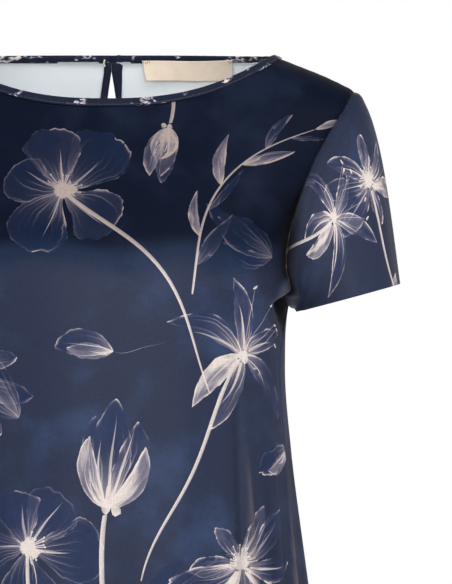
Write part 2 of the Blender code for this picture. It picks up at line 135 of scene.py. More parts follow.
def square_to(ahead: Array, hint: tuple[float, float, float]) -> tuple[Array, Array]:
    """Two unit directions square to ahead and to each other, the first also square to the hint."""
    side = unit(np.cross(ahead, np.array(hint)))
    return side, np.cross(ahead, side)


def rings(side: Array, up: Array, count: int) -> Array:
    """Even points of the unit circle in the plane of each pair of directions."""
    turn = even_turns(count)[:, None]
    return np.cos(turn) * side[:, None] + np.sin(turn) * up[:, None]


def puckers(along: Array, pitch: float, drift: float, swing: float = 2.0) -> Array:
    """The wave of sewn cloth: a sine whose phase swings with a slower one."""
    return np.sin(along / pitch + swing * np.sin(along / drift))


def pairs(turn: Array, height: Array) -> Array:
    """Turns and heights side by side in a last axis of two."""
    return np.stack(np.broadcast_arrays(turn, height), axis=-1).astype(float)


def split(both: Array) -> Array:
    """The turns and the heights of such pairs, apart again."""
    return np.moveaxis(both, -1, 0)


def degrees_off(turn: Array, centre: Array | float) -> Array:
    """How far turns lie from a centre in degrees, the shorter way round, for turns in radians."""
    return (np.degrees(turn) - centre + 180) % 360 - 180


def run_length(points: Array, axis: int) -> Array:
    """How far each point lies from the first along one axis of a grid, measured over the points between.

    Args:
        points: A grid of points, the last axis their coordinates.
        axis: The grid axis to walk along.

    Returns:
        The lengths, in the shape of the grid.
    """
    steps = np.linalg.norm(np.diff(points, axis=axis), axis=-1)
    start = np.zeros_like(np.take(steps, [0], axis=axis))
    return np.concatenate([start, np.cumsum(steps, axis=axis)], axis=axis)


def grid_normals(points: Array, ring: bool = False) -> Array:
    """The outward normals of a grid of points: columns crossed with rows, each slope taken over both
    neighbours.

    Args:
        points: Rows by columns by 3.
        ring: Whether the last column meets the first.

    Returns:
        Unit normals in the shape of the points.
    """
    if ring:
        wide = np.concatenate([points[:, -1:], points, points[:, :1]], axis=1)
        across = np.gradient(wide, axis=1)[:, 1:-1]
    else:
        across = np.gradient(points, axis=1)
    return unit(np.cross(across, np.gradient(points, axis=0)))


@dataclass(frozen=True)
class Table:
    """Rows of numbers under named columns."""

    columns: tuple[str, ...]
    rows: tuple[tuple[float, ...], ...]

    def column(self, name: str) -> Array:
        """One named column as an array."""
        return np.array([row[self.columns.index(name)] for row in self.rows], float)


# ---- The form ----


@dataclass(frozen=True)
class BodyForm:
    """The body of the blouse as one closed form, with its seam lines and its folds."""

    sections: Table = Table(
        ("height", "half_width", "front", "back", "square"),
        (
            (12, 110.3, 50, 58, 2.12), (0, 138.0, 59, 63, 2.15), (-8, 158.0, 62, 65, 2.12),
            (-16, 178.5, 65, 67, 2.08), (-24, 196.0, 68, 69, 2.04), (-29.5, 206.5, 70, 70, 2.02),
            (-36, 216.5, 72, 71, 2.00), (-45, 226.0, 75, 73, 1.99), (-60, 232.5, 80, 76, 1.98),
            (-76, 230.5, 86, 80, 1.98), (-95, 217.0, 95, 84, 2.00), (-118, 196.0, 107, 87, 2.06),
            (-150, 171.0, 121, 91, 2.18), (-180, 158.0, 128, 92, 2.28), (-210, 150.5, 130, 92, 2.36),
            (-260, 147.5, 130, 90, 2.38), (-330, 152.5, 129, 89, 2.34), (-400, 160.0, 129, 93, 2.30),
            (-480, 168.5, 130, 99, 2.26), (-560, 177.0, 132, 105, 2.22), (-620, 183.0, 134, 109, 2.20),
        ),
    )
    folds: Table = Table(
        ("turn", "width", "out", "top"),
        (
            (4, 12, -4.0, -330), (24, 11, 5.0, -260), (43, 10, -6.5, -225), (60, 9, 7.0, -215),
            (77, 9, -6.0, -240), (94, 9, 6.0, -230), (113, 11, -5.5, -250), (134, 11, 6.0, -230),
            (156, 12, -5.5, -250), (180, 12, 4.5, -300), (-155, 12, -6.0, -240), (-133, 11, 6.0, -230),
            (-112, 11, -5.0, -260), (-94, 9, 6.0, -240), (-78, 9, -6.5, -230), (-61, 9, 6.5, -225),
            (-43, 10, -6.0, -240), (-20, 12, 4.5, -280),
        ),
    )
    creases: Table = Table(
        ("turn", "height", "turn_width", "height_width", "out", "lean"),
        (
            (57, -222, 4, 34, 2.2, -8), (-57, -222, 4, 34, 1.8, 9), (110, -225, 9, 20, -3.5, -6),
            (-111, -226, 9, 20, -3.5, 6), (48.2, -430, 2.6, 150, -3.3, -1), (52, -440, 1.5, 160, 3.8, -1),
            (59, -420, 4.2, 130, -2.2, -1), (66, -450, 2.2, 110, -1.8, 0), (71.5, -455, 1.6, 100, 5.0, 1),
            (33, -420, 5.0, 110, -1.2, 3), (14, -480, 6.0, 120, 1.5, -3), (-10, -450, 5.5, 120, -1.4, 4),
            (-33, -430, 5.0, 100, 1.5, -2), (-53, -350, 3.5, 90, 1.5, 2), (-69, -365, 4.0, 90, -1.8, -2),
            (86, -420, 3.0, 100, 1.3, 0), (102, -390, 4.0, 110, -1.6, 2), (124, -400, 5.0, 120, 1.6, -2),
            (145, -440, 5.0, 120, -1.5, 3), (168, -420, 5.0, 130, 1.5, 2), (-167, -430, 5.0, 120, -1.5, -2),
            (-144, -400, 5.0, 120, 1.5, 2), (-123, -420, 5.0, 120, -1.6, 0), (-101, -390, 4.0, 110, 1.4, -2),
            (-86, -430, 3.0, 100, -1.2, 0), (40, -120, 8, 34, -1.0, 30), (-42, -118, 8, 34, -1.0, -28),
            (140, -110, 10, 40, -1.2, -26), (-138, -112, 10, 40, -1.2, 25),
        ),
    )
    tucks: Table = Table(
        ("turn", "height", "turn_width", "above", "below", "out", "rise", "lean"),
        (
            (71, -197, 7, 13, 3.5, 4.6, 0.75, 0), (72.5, -203, 5.5, 2.2, 24, -10.0, 0.75, -20),
            (-71, -198, 7, 13, 3.5, 4.2, -0.7, 0), (-72, -204, 5.5, 2.2, 22, -9.0, -0.7, 22),
            (109, -204, 8, 13, 4.0, 3.0, -0.3, 0), (111, -211, 8, 4.0, 15, -5.5, -0.3, 10),
            (-110, -205, 8, 13, 4.0, 3.0, 0.3, 0), (-112, -212, 8, 4.0, 15, -5.5, 0.3, -10),
        ),
    )
    shadows: Table = Table(
        ("turn", "height", "turn_width", "above", "below", "out", "rise", "lean"),
        (
            (80, -201, 11, 2.0, 38, 1.2, 0.75, -12), (93, -290, 9, 85, 110, 0.60, 0, 0),
            (-80, -202, 11, 2.0, 36, 1.2, -0.7, 12), (-93, -290, 9, 85, 110, 0.56, 0, 0),
        ),
    )
    swells: Table = Table(
        ("count", "wave", "start"),
        (
            (3, 61, 0), (5, -43, 1.3), (8, 97, 0.6),
        ),
    )
    swell_out: float = 0.35
    # Crease depths over which the painted shade in troughs and the painted sheen on ridges grow from none to
    # full.
    trough_shade: tuple[float, float] = (0.8 * MM, 5.8 * MM)
    ridge_light: tuple[float, float] = (1.1 * MM, 3.8 * MM)
    fold_full_drop: float = 330 * MM
    fold_most: float = 1.3
    fold_power: float = 1.3
    neck_half_width: float = 138 * MM
    neck_depth_front: float = 39.5 * MM
    neck_rise_back: float = 4.5 * MM
    neck_curve_power: float = 2.5
    shoulder_tip_height: float = -29.5 * MM
    shoulder_slope: float = 1 / 2.31
    underarm_height: float = -208 * MM
    armhole_front_scoop: float = 56 * MM
    armhole_back_scoop: float = 52 * MM
    armhole_squareness: float = 0.8
    underarm_forward: float = 14 * MM
    side_seam_forward: float = 50 * MM
    side_seam_settles: float = 48 * MM
    side_seam_return: float = 0.06
    hem_height: float = -620 * MM
    keyhole_top: float = -3 * MM
    keyhole_bottom: float = -92 * MM
    keyhole_half_width: float = 7.5 * MM
    keyhole_top_half_gap: float = 0.02 * MM
    keyhole_parts: float = -9.5 * MM
    keyhole_taper_power: float = 0.98
    keyhole_round_share: float = 0.4
    measured_turns: int = 241
    measured_heights: int = 164
    measured_between: tuple[float, float] = (-640 * MM, 12 * MM)
    measured_from: float = -200 * MM

    def value(self, name: str, height: Array) -> Array:
        """One column of the sections at these heights, lengths in metres.

        Args:
            name: The column.
            height: Heights.

        Returns:
            The column's values there.
        """
        unit_of = 1.0 if name == "square" else MM
        places = self.sections.column("height")[::-1] * MM
        return smooth_between(height, places, self.sections.column(name)[::-1] * unit_of)

    def fold_out(self, turn: Array, height: Array) -> Array:
        """How far the hanging folds push the cloth out: each a bell round the body that grows as a power of
        the drop below its top.

        Args:
            turn: Turns round the body.
            height: Heights.

        Returns:
            Distances outwards, in metres.
        """
        total = np.zeros(np.broadcast(turn, height).shape)
        for centre, width, out, top in self.folds.rows:
            away = degrees_off(turn, centre)
            grown = np.clip((top * MM - height) / self.fold_full_drop, 0, self.fold_most) ** self.fold_power
            total = total + out * MM * grown * bell(away / width)
        return total

    def crease_out(self, turn: Array, height: Array) -> Array:
        """How far the small creases push the cloth out: each a bell round the body times a bell of its
        height, and one that leans by so many degrees of turn for each 100 mm of height. The tucks under the
        arms and a slow swell, three sines with unlike periods, are added.

        Args:
            turn: Turns round the body.
            height: Heights.

        Returns:
            Distances along the normal, in metres.
        """
        total = np.zeros(np.broadcast(turn, height).shape)
        for centre, middle, width, tall, out, lean in self.creases.rows:
            above = height / MM - middle
            away = degrees_off(turn, centre + lean * above / 100)
            total = total + out * MM * bell(away / width) * bell(above / tall)
        swell = sum(np.sin(n * turn + height / (wave * MM) + start) for n, wave, start in self.swells.rows)
        return total + MM * (self.swell_out * swell + self.uneven_bells(self.tucks, turn, height))

    def uneven_bells(self, table: Table, turn: Array, height: Array) -> Array:
        """The sum of a table's bells. Each is narrower to one side of its middle height than to the other,
        and the middle rises by so many millimetres for each degree of turn.

        Args:
            table: The bells.
            turn: Turns round the body.
            height: Heights.

        Returns:
            The sum, in the table's own unit.
        """
        total = np.zeros(np.broadcast(turn, height).shape)
        for centre, middle, width, high, low, out, rise, lean in table.rows:
            off = degrees_off(turn, centre)
            above = height / MM - middle - rise * off
            away = off - lean * above / 100
            total = total + out * bell(away / width) * bell(above / np.where(above > 0, high, low))
        return total

    def shade(self, turn: Array, height: Array) -> Array:
        """How dark the folds make the cloth: a smooth step of the creases' depth, or of their height, from
        the least that tells to the most. Under the arms a few shadows are added.

        Args:
            turn: Turns round the body.
            height: Heights.

        Returns:
            Numbers from -1 on a ridge that catches the light to 1 in a deep trough.
        """
        out = self.crease_out(turn, height)
        (dim, dark), (pale, bright) = self.trough_shade, self.ridge_light
        # Painted shade: the creases' troughs and the shadows under the arms, for darkening the satin's
        # colour.
        painted_shading = smooth_step((-out - dim) / (dark - dim)) + self.uneven_bells(self.shadows, turn, height)
        return np.minimum(painted_shading, 1) - smooth_step((out - pale) / (bright - pale))

    def plain(self, turn: Array, height: Array) -> Array:
        """The form itself: a superellipse section, pushed out by the folds.

        Args:
            turn: Turns round the body.
            height: Heights.

        Returns:
            Points.
        """
        half_width = self.value("half_width", height)
        depth = np.where(np.cos(turn) > 0, self.value("front", height), self.value("back", height))
        power = self.value("square", height)
        across, ahead = np.abs(np.sin(turn) / half_width), np.abs(np.cos(turn) / depth)
        reach = (across**power + ahead**power) ** (-1 / power) + self.fold_out(turn, height)
        return np.stack([reach * np.sin(turn), -reach * np.cos(turn), height + 0 * turn], axis=-1)

    def normal(self, turn: Array, height: Array) -> Array:
        """The form's outward direction: the cross product of two slopes, each taken between points a little
        to both sides.

        Args:
            turn: Turns round the body.
            height: Heights.

        Returns:
            Unit normals.
        """
        turn_step, step = 0.004, 0.4 * MM
        round_it = self.plain(turn + turn_step, height) - self.plain(turn - turn_step, height)
        up_it = self.plain(turn, height + step) - self.plain(turn, height - step)
        return unit(np.cross(round_it, up_it))

    def surface(self, turn: Array, height: Array) -> Array:
        """The cloth's outer face: the form, moved along its normal by the creases."""
        return self.plain(turn, height) + self.normal(turn, height) * self.crease_out(turn, height)[..., None]

    def turn_at_depth(self, y: Array, height: Array) -> Array:
        """Where the form without folds lies at a depth on its +X side, by the superellipse solved for its
        turn.

        Args:
            y: Depths.
            height: Heights.

        Returns:
            Turns round the body.
        """
        depth = np.where(y < 0, self.value("front", height), self.value("back", height))
        power = self.value("square", height)
        share = 1 - np.minimum(np.abs(y) / depth, 1) ** power
        return np.arctan2(self.value("half_width", height) * share ** (1 / power), -y)

    def turn_at_width(self, x: Array, height: Array, panel: Panel) -> Array:
        """Where the form without folds lies so far from the centre line, by the superellipse solved for its
        turn.

        Args:
            x: Distances from the centre line.
            height: Heights.
            panel: The panel that is meant.

        Returns:
            Turns round the body.
        """
        depth = self.value(panel.value, height)
        power = self.value("square", height)
        share = np.clip(np.abs(x) / self.value("half_width", height), 0, 1)
        y = depth * (1 - share**power) ** (1 / power)
        return np.arctan2(x, y if panel is Panel.FRONT else -y)

    def neck_line(self, share: Array, inset: float, panel: Panel) -> Array:
        """The neckline, or a line inset below it, from the centre (share 0) to the shoulder seam (share 1).

        Args:
            share: Shares of the way, an angle's share of a quarter turn.
            inset: How far below the neckline.
            panel: The front's or the back's.

        Returns:
            (turn, height) pairs.
        """
        end = -inset * self.shoulder_slope
        half_width = self.value("half_width", np.array([end]))[0]
        middle = (-self.neck_depth_front if panel is Panel.FRONT else self.neck_rise_back) - inset
        x = half_width * np.sin(share * math.pi / 2)
        height = end + (middle - end) * (1 - (x / half_width) ** self.neck_curve_power)
        seam = self.turn_at_depth(0 * height, height)
        turn = self.turn_at_width(x, height, panel)
        return pairs(np.minimum(turn, seam) if panel is Panel.FRONT else np.maximum(turn, seam), height)

    def armhole_line(self, angle: Array) -> Array:
        """The armhole: seen from the side an ellipse that is squarer above.

        Args:
            angle: Its angle, 0 at the top, a quarter turn in front and half a turn at the foot.

        Returns:
            (turn, height) pairs.
        """
        middle = (self.shoulder_tip_height + self.underarm_height) / 2
        half_height = (self.shoulder_tip_height - self.underarm_height) / 2
        height = middle + half_height * np.cos(angle)
        scoop = np.where(np.sin(angle) > 0, self.armhole_front_scoop, -self.armhole_back_scoop)
        low = (1 - np.cos(angle)) / 2
        power = self.armhole_squareness * (1 - low) + low
        y = -scoop * np.abs(np.sin(angle)) ** power - self.underarm_forward * low
        return pairs(self.turn_at_depth(y, height), height)

    def side_line(self, height: Array) -> Array:
        """The side seam, which starts at the underarm and comes forward below it in a smooth step.

        Args:
            height: Heights.

        Returns:
            (turn, height) pairs.
        """
        below = self.underarm_height - height
        drop = smooth_step(below / self.side_seam_settles)
        forward = (self.side_seam_forward - self.underarm_forward) * drop
        y = -self.underarm_forward - forward + self.side_seam_return * below
        return pairs(self.turn_at_depth(y, height), height)

    def keyhole_path(self, steps: int, inset: float) -> Array:
        """The keyhole from its bottom up its +X side, set sideways into the panel: a quarter circle, then a
        side that closes as a power of a cosine, and above that a side that meets the other.

        Args:
            steps: How many steps up.
            inset: How far into the panel.

        Returns:
            Steps + 1 (x, height) points.
        """
        curve_steps = round(steps * self.keyhole_round_share)
        around = np.linspace(0, math.pi / 2, curve_steps + 1)
        radius = self.keyhole_half_width + inset
        middle = self.keyhole_bottom + self.keyhole_half_width
        up = np.linspace(0, 1, steps - curve_steps + 1)[1:]
        closed = np.minimum(up * (self.keyhole_top - middle) / (self.keyhole_parts - middle), 1)
        taper = np.maximum(np.cos(closed * math.pi / 2), 0) ** self.keyhole_taper_power
        gap = self.keyhole_top_half_gap
        x = gap + (self.keyhole_half_width - gap) * taper + inset
        round_end = np.stack([radius * np.sin(around), middle - radius * np.cos(around)], axis=-1)
        side = np.stack([x, middle + (self.keyhole_top - middle) * up], axis=-1)
        return np.concatenate([round_end, side])

    def cloth_place(self, turn: Array, height: Array, panel: Panel) -> Array:
        """Where these points lie on the flat cloth, in millimetres: across from the panel's centre line, as
        lengths measured round the form, and up, as lengths measured along lines of equal turn.

        Args:
            turn: Turns from -180 to 180 degrees, in radians.
            height: Heights.
            panel: Which panel's centre line is across 0.

        Returns:
            (across, up) pairs, up being -200 at the height of -200 mm.
        """
        turns = np.linspace(0, math.pi, self.measured_turns)
        heights = np.linspace(*self.measured_between, self.measured_heights)
        points = self.plain(*np.meshgrid(turns, heights))
        round_it, up_it = run_length(points, 1), run_length(points, 0)
        level = np.interp(self.measured_from, heights, np.arange(len(heights)))
        low = int(level)
        start = up_it[low] * (low + 1 - level) + up_it[low + 1] * (level - low)
        up_it = up_it - start + self.measured_from
        if panel is Panel.BACK:
            round_it = round_it[:, -1:] - round_it
        last_column, last_row = len(turns) - 1, len(heights) - 1
        column = np.clip(np.abs(turn) / math.pi * last_column, 0, last_column - 0.001)
        share = (height - heights[0]) / (heights[-1] - heights[0])
        row = np.clip(share * last_row, 0, last_row - 0.001)
        i, j = row.astype(int), column.astype(int)
        v, u = row - i, column - j
        both = []
        for table in (round_it, up_it):
            lower = table[i, j] * (1 - u) + table[i, j + 1] * u
            upper = table[i + 1, j] * (1 - u) + table[i + 1, j + 1] * u
            both.append((lower * (1 - v) + upper * v) / MM)
        sign = np.sign(turn) if panel is Panel.FRONT else -np.sign(turn)
        return np.stack([both[0] * sign, both[1]], axis=-1)


@dataclass(frozen=True)
class SleeveForm:
    """A short set-in sleeve: a curve from each point of the armhole out and down to a tilted hem ring."""

    body: BodyForm
    side: Side
    hem_outer: tuple[float, float] = (244.5 * MM, -191 * MM)
    hem_inner: tuple[float, float] = (157 * MM, -214.5 * MM)
    hem_half_depth: float = 57 * MM
    hem_forward: float = 3 * MM
    cap_pull: float = 0.45
    under_pull: float = 0.8
    under_out: tuple[float, float] = (0.72, 0.12)
    under_ahead: float = 0.30
    under_down: tuple[float, float] = (-0.58, 0.08)
    hem_pull: float = 0.95
    hem_slant: float = 0.14
    creases_from: float = 0.15
    creases: Table = Table(
        ("angle", "down", "angle_width", "down_width", "out", "lean"),
        (
            (128, 0.22, 16, 0.20, -2.6, 24), (108, 0.42, 10, 0.34, 1.3, 16), (150, 0.60, 12, 0.40, -1.8, 8),
            (168, 0.45, 9, 0.45, 1.5, 0), (72, 0.72, 10, 0.34, -0.9, -6), (48, 0.62, 9, 0.40, 0.8, 4),
            (18, 0.80, 10, 0.40, -0.7, 0), (-30, 0.60, 10, 0.40, 0.8, 0), (-64, 0.62, 10, 0.42, -0.9, 6),
            (-104, 0.45, 10, 0.36, 1.3, -14), (-128, 0.25, 15, 0.22, -2.4, -22),
            (-152, 0.60, 12, 0.40, -1.7, -8),
        ),
    )

    def plain(self, angle: Array, down: Array) -> Array:
        """A cubic with given end slopes from the armhole (down 0) to the hem (down 1). The cap carries on
        smoothly from the shoulder, and the underside leaves at an angle of its own.

        Args:
            angle: The armhole's angle.
            down: The share of the way to the hem.

        Returns:
            Points of the sleeve's outer face.
        """
        start = self.body.plain(*split(self.body.armhole_line(angle)))
        outer, inner = np.array(self.hem_outer), np.array(self.hem_inner)
        middle, reach = (outer + inner) / 2, (outer - inner) / 2
        across = np.cos(angle)
        deep = -self.hem_forward - self.hem_half_depth * np.sin(angle)
        end = np.stack([middle[0] + reach[0] * across, deep, middle[1] + reach[1] * across], axis=-1)
        long = np.linalg.norm(end - start, axis=-1, keepdims=True)
        cap = (1 + across)[..., None] / 2
        (out, more_out), (down_it, less_down) = self.under_out, self.under_down
        under = out + more_out * across, -self.under_ahead * np.sin(angle), down_it + less_down * across
        leave = unit(self.out_of_armhole(angle) * cap + unit(np.stack(under, axis=-1)) * (1 - cap))
        arrive = unit(np.array([self.hem_slant, 0, -1.0]))
        t = down[..., None]
        rise, level = t * t * (3 - 2 * t), t * (1 - t)
        pull = self.cap_pull * cap + self.under_pull * (1 - cap)
        bend = pull * leave * (1 - t) - self.hem_pull * arrive * t
        return (start * (1 - rise) + end * rise + level * long * bend) * np.array([self.side.value, 1, 1])

    def out_of_armhole(self, angle: Array) -> Array:
        """The direction out across the +X armhole along the body: its normal crossed with the armhole's own
        slope.

        Args:
            angle: The armhole's angle.

        Returns:
            Unit directions.
        """
        line = self.body.armhole_line
        ahead, behind = (self.body.plain(*split(line(angle + step))) for step in (0.01, -0.01))
        return unit(np.cross(self.body.normal(*split(line(angle))), ahead - behind))

    def crease_out(self, angle: Array, down: Array) -> Array:
        """How far the sleeve's creases push it out: each a bell of its angle times a bell of its way down.

        Args:
            angle: The armhole's angle.
            down: The share of the way to the hem.

        Returns:
            Distances along the normal, in metres.
        """
        total = np.zeros(np.broadcast(angle, down).shape)
        for centre, middle, width, tall, out, lean in self.creases.rows:
            away = degrees_off(angle, centre + lean * (down - middle))
            total = total + out * MM * bell(away / width) * bell((down - middle) / tall)
        return total * smooth_step(down / self.creases_from)


BODY = BodyForm()


# ---- Meshes ----


def grid_quads(rows: int, columns: int, start: int = 0, ring: bool = False) -> Array:
    """Index quads over a grid of points, row by row.

    Args:
        rows: How many rows of points.
        columns: How many columns.
        start: The index of the first point.
        ring: Whether the last column joins the first.

    Returns:
        Four indices to a row.
    """
    i, j = np.meshgrid(np.arange(rows - 1), np.arange(columns if ring else columns - 1), indexing="ij")
    k = (j + 1) % columns
    quads = np.stack([i * columns + j, i * columns + k, (i + 1) * columns + k, (i + 1) * columns + j], -1)
    return quads.reshape(-1, 4) + start


def new_object(name: str, points: Array, *faces: Array) -> Piece:
    """A smooth-shaded mesh object at the origin.

    Args:
        name: Its name.
        points: Its points.
        faces: Index rows, one array for the quads and one for any triangles.

    Returns:
        The object, in the scene.
    """
    sizes = np.concatenate([np.full(len(rows), rows.shape[1]) for rows in faces])
    corners = np.concatenate([rows.ravel() for rows in faces])
    mesh = bpy.data.meshes.new(name)
    mesh.vertices.add(len(points))
    mesh.vertices.foreach_set("co", np.ascontiguousarray(points, np.float32).ravel())
    mesh.loops.add(len(corners))
    mesh.loops.foreach_set("vertex_index", corners.astype(np.int32))
    mesh.polygons.add(len(sizes))
    mesh.polygons.foreach_set("loop_start", (np.cumsum(sizes) - sizes).astype(np.int32))
    mesh.update(calc_edges=True)
    if mesh.validate():
        raise ValueError(f"{name}: some faces have no area")
    mesh.shade_smooth()
    piece = bpy.data.objects.new(name, mesh)
    bpy.context.scene.collection.objects.link(piece)
    return piece


def put_attribute(mesh: Mesh, name: str, domain: str, values: Array) -> None:
    """Adds a vector attribute, one row of three numbers for each point, face or corner."""
    layer = mesh.attributes.new(name, "FLOAT_VECTOR", domain)
    layer.data.foreach_set("vector", np.ascontiguousarray(values, np.float32).ravel())


@dataclass
class Cloth:
    """A sheet of cloth before it has a thickness."""

    points: Array
    lean: Array
    place: Array
    quads: Array
    thickness: float = 0.6 * MM

    @classmethod
    def of_grid(cls, points: Array, lean: Array, place: Array, ring: bool = False) -> "Cloth":
        """Cloth over grids of points, outward directions and places, its quads facing as it leans."""
        flat = (grid.reshape(-1, grid.shape[-1]) for grid in (points, lean, place))
        return cls(*flat, grid_quads(*points.shape[:2], ring=ring)).faced()

    def joined(self) -> "Cloth":
        """Makes points that coincide one.

        Returns:
            The joined cloth.
        """
        keys = np.round(self.points / (0.01 * MM))
        _, first, index = np.unique(keys, axis=0, return_index=True, return_inverse=True)
        kept = (values[first] for values in (self.points, self.lean, self.place))
        return Cloth(*kept, index.reshape(-1)[self.quads], self.thickness)

    def faced(self) -> "Cloth":
        """Turns the quads over where they face against the lean, by the sign of their normals along it.

        Returns:
            The cloth, facing as it leans.
        """
        a, b, c = (self.points[self.quads[:, corner]] for corner in (0, 1, 2))
        agrees = (np.cross(b - a, c - a) * self.lean[self.quads[:, 0]]).sum() > 0
        return self if agrees else replace(self, quads=self.quads[:, ::-1])

    def shell(self, name: str) -> Piece:
        """A closed shell: the outer face as the quads run, the inner one turned round, and a rim on each free
        edge. Faces come in that order, and the rims belong to the outer face's material.

        Args:
            name: The object's name.

        Returns:
            The object, with the place on the cloth and its shade as the point attribute "cloth".
        """
        count = len(self.points)
        edges = np.concatenate([self.quads[:, [k, (k + 1) % 4]] for k in range(4)])
        keys = np.sort(edges, axis=1)
        _, first, uses = np.unique(keys, axis=0, return_index=True, return_counts=True)
        free = edges[first[(uses == 1) & (keys[first, 0] != keys[first, 1])]]
        rims = np.stack([free[:, 1], free[:, 0], free[:, 0] + count, free[:, 1] + count], axis=-1)
        inner = self.points - self.lean * self.thickness
        quads = np.concatenate([self.quads, self.quads[:, ::-1] + count, rims])
        piece = new_object(name, np.concatenate([self.points, inner]), quads)
        place = np.pad(self.place, ((0, 0), (0, 3 - self.place.shape[1])))
        put_attribute(piece.data, "cloth", "POINT", np.concatenate([place, place]))
        return piece


# ---- The print ----

Layout = tuple[tuple[Motif, float, float, float, float, int], ...]
PATH_POINTS = 25
BEYOND_ENDS = 40.0


@dataclass
class Stroke:
    """One printed stroke: a path on the cloth with a leaf-like outline. The half width at a share s of the
    path is half_width times (1 - taper s) times sin(pi s^skew)^blunt, so a small blunt makes a stem and a
    large one a pointed leaf. Ragged says how uneven the outline is, fill how dense the veil inside it, rim
    how bright its edge, and folds how many bright folds run along each half of it."""

    path: Array
    half_width: float
    skew: float = 1.0
    blunt: float = 0.5
    ragged: float = 0.0
    taper: float = 0.0
    fill: float = 1.0
    rim: float = 0.0
    folds: float = 0.0
    seed: float = 0.0

    def length(self) -> float:
        """The path's length in millimetres."""
        return float(np.linalg.norm(np.diff(self.path, axis=0), axis=1).sum())

    def measure(self, at: Array) -> Array:
        """How far along the path each point lies, as a share, and how far to its left, in millimetres. The
        nearest point of the path counts, and both ends go on straight.

        Args:
            at: Points of the cloth.

        Returns:
            (along, across) pairs.
        """
        first, last = unit(self.path[0] - self.path[1]), unit(self.path[-1] - self.path[-2])
        ends = self.path[0] + BEYOND_ENDS * first, self.path[-1] + BEYOND_ENDS * last
        path = np.concatenate([ends[:1], self.path, ends[1:]])
        step = np.diff(path, axis=0)
        long = np.linalg.norm(step, axis=1)
        start = np.concatenate([[0], np.cumsum(long)[:-1]])
        away = at[:, None] - path[None, :-1]
        share = np.clip((away * step).sum(-1) / long**2, 0, 1)
        off = away - share[..., None] * step
        near = (off**2).sum(-1).argmin(axis=1)
        row = np.arange(len(at))
        along = (start[near] + share[row, near] * long[near] - BEYOND_ENDS) / self.length()
        left = step[near, 0] * away[row, near, 1] - step[near, 1] * away[row, near, 0]
        return np.stack([along, np.sign(left) * np.linalg.norm(off[row, near], axis=1)], axis=-1)

    def outline(self, along: Array) -> Array:
        """The half width along the path, with room for a ragged edge.

        Args:
            along: Shares of the path.

        Returns:
            Half widths in millimetres.
        """
        share = np.clip(along, 0.001, 0.999)
        plain = (1 - self.taper * share) * np.sin(math.pi * share**self.skew) ** self.blunt
        return self.half_width * plain * (1 + 0.6 * self.ragged)


@dataclass
class Burst:
    """A spray of printed stamens round a centre: how many, how long, and the share of the turn, either side
    of its heading, that they fill."""

    centre: Array
    count: float
    length: float
    spread: float = 1.0
    heading: float = 0.0
    seed: float = 0.0


@dataclass
class Artwork:
    """What is printed on one panel."""

    strokes: list[Stroke] = field(default_factory=list)
    bursts: list[Burst] = field(default_factory=list)


def curved_path(start: Array, heading: float, length: float, bend: float, sway: float = 0.0) -> Array:
    """A path whose heading turns evenly by bend, and by sway and back again, on its way.

    Args:
        start: Where it starts.
        heading: Its first heading in degrees, from across towards up.
        length: Its length.
        bend: How far it turns in all, in degrees.
        sway: How far its heading swings to one side and back, in degrees.

    Returns:
        PATH_POINTS points.
    """
    share = np.linspace(0, 1, PATH_POINTS)
    angle = np.radians(heading + bend * share + sway * np.sin(share * 2 * math.pi))
    steps = np.stack([np.cos(angle), np.sin(angle)], axis=-1)
    middle = (steps[1:] + steps[:-1]) / 2 * length / (PATH_POINTS - 1)
    return start + np.concatenate([[[0, 0]], np.cumsum(middle, axis=0)])


@dataclass(frozen=True)
class Bloom:
    """What a kind of flower is drawn from: each petal's heading, length, half width, bend, folds and fill,
    the petals' skew, blunt and rim, the heart's radius and heading, and the stem's foot, heading, length,
    least and most bend, and half width. Then its filaments' headings, each leaf's point of the stem, heading,
    length, bend, half width, fill, rim and folds, and each spray of stamens' height above the middle, count,
    length, spread and heading."""

    petals: tuple[tuple[float, ...], ...]
    outline: tuple[float, float, float]
    heart: tuple[float, float]
    stem: tuple[tuple[float, float], float, float, float, float, float]
    filaments: tuple[float, ...] = ()
    leaves: tuple[tuple[float, ...], ...] = ()
    stamens: tuple[tuple[float, ...], ...] = ()


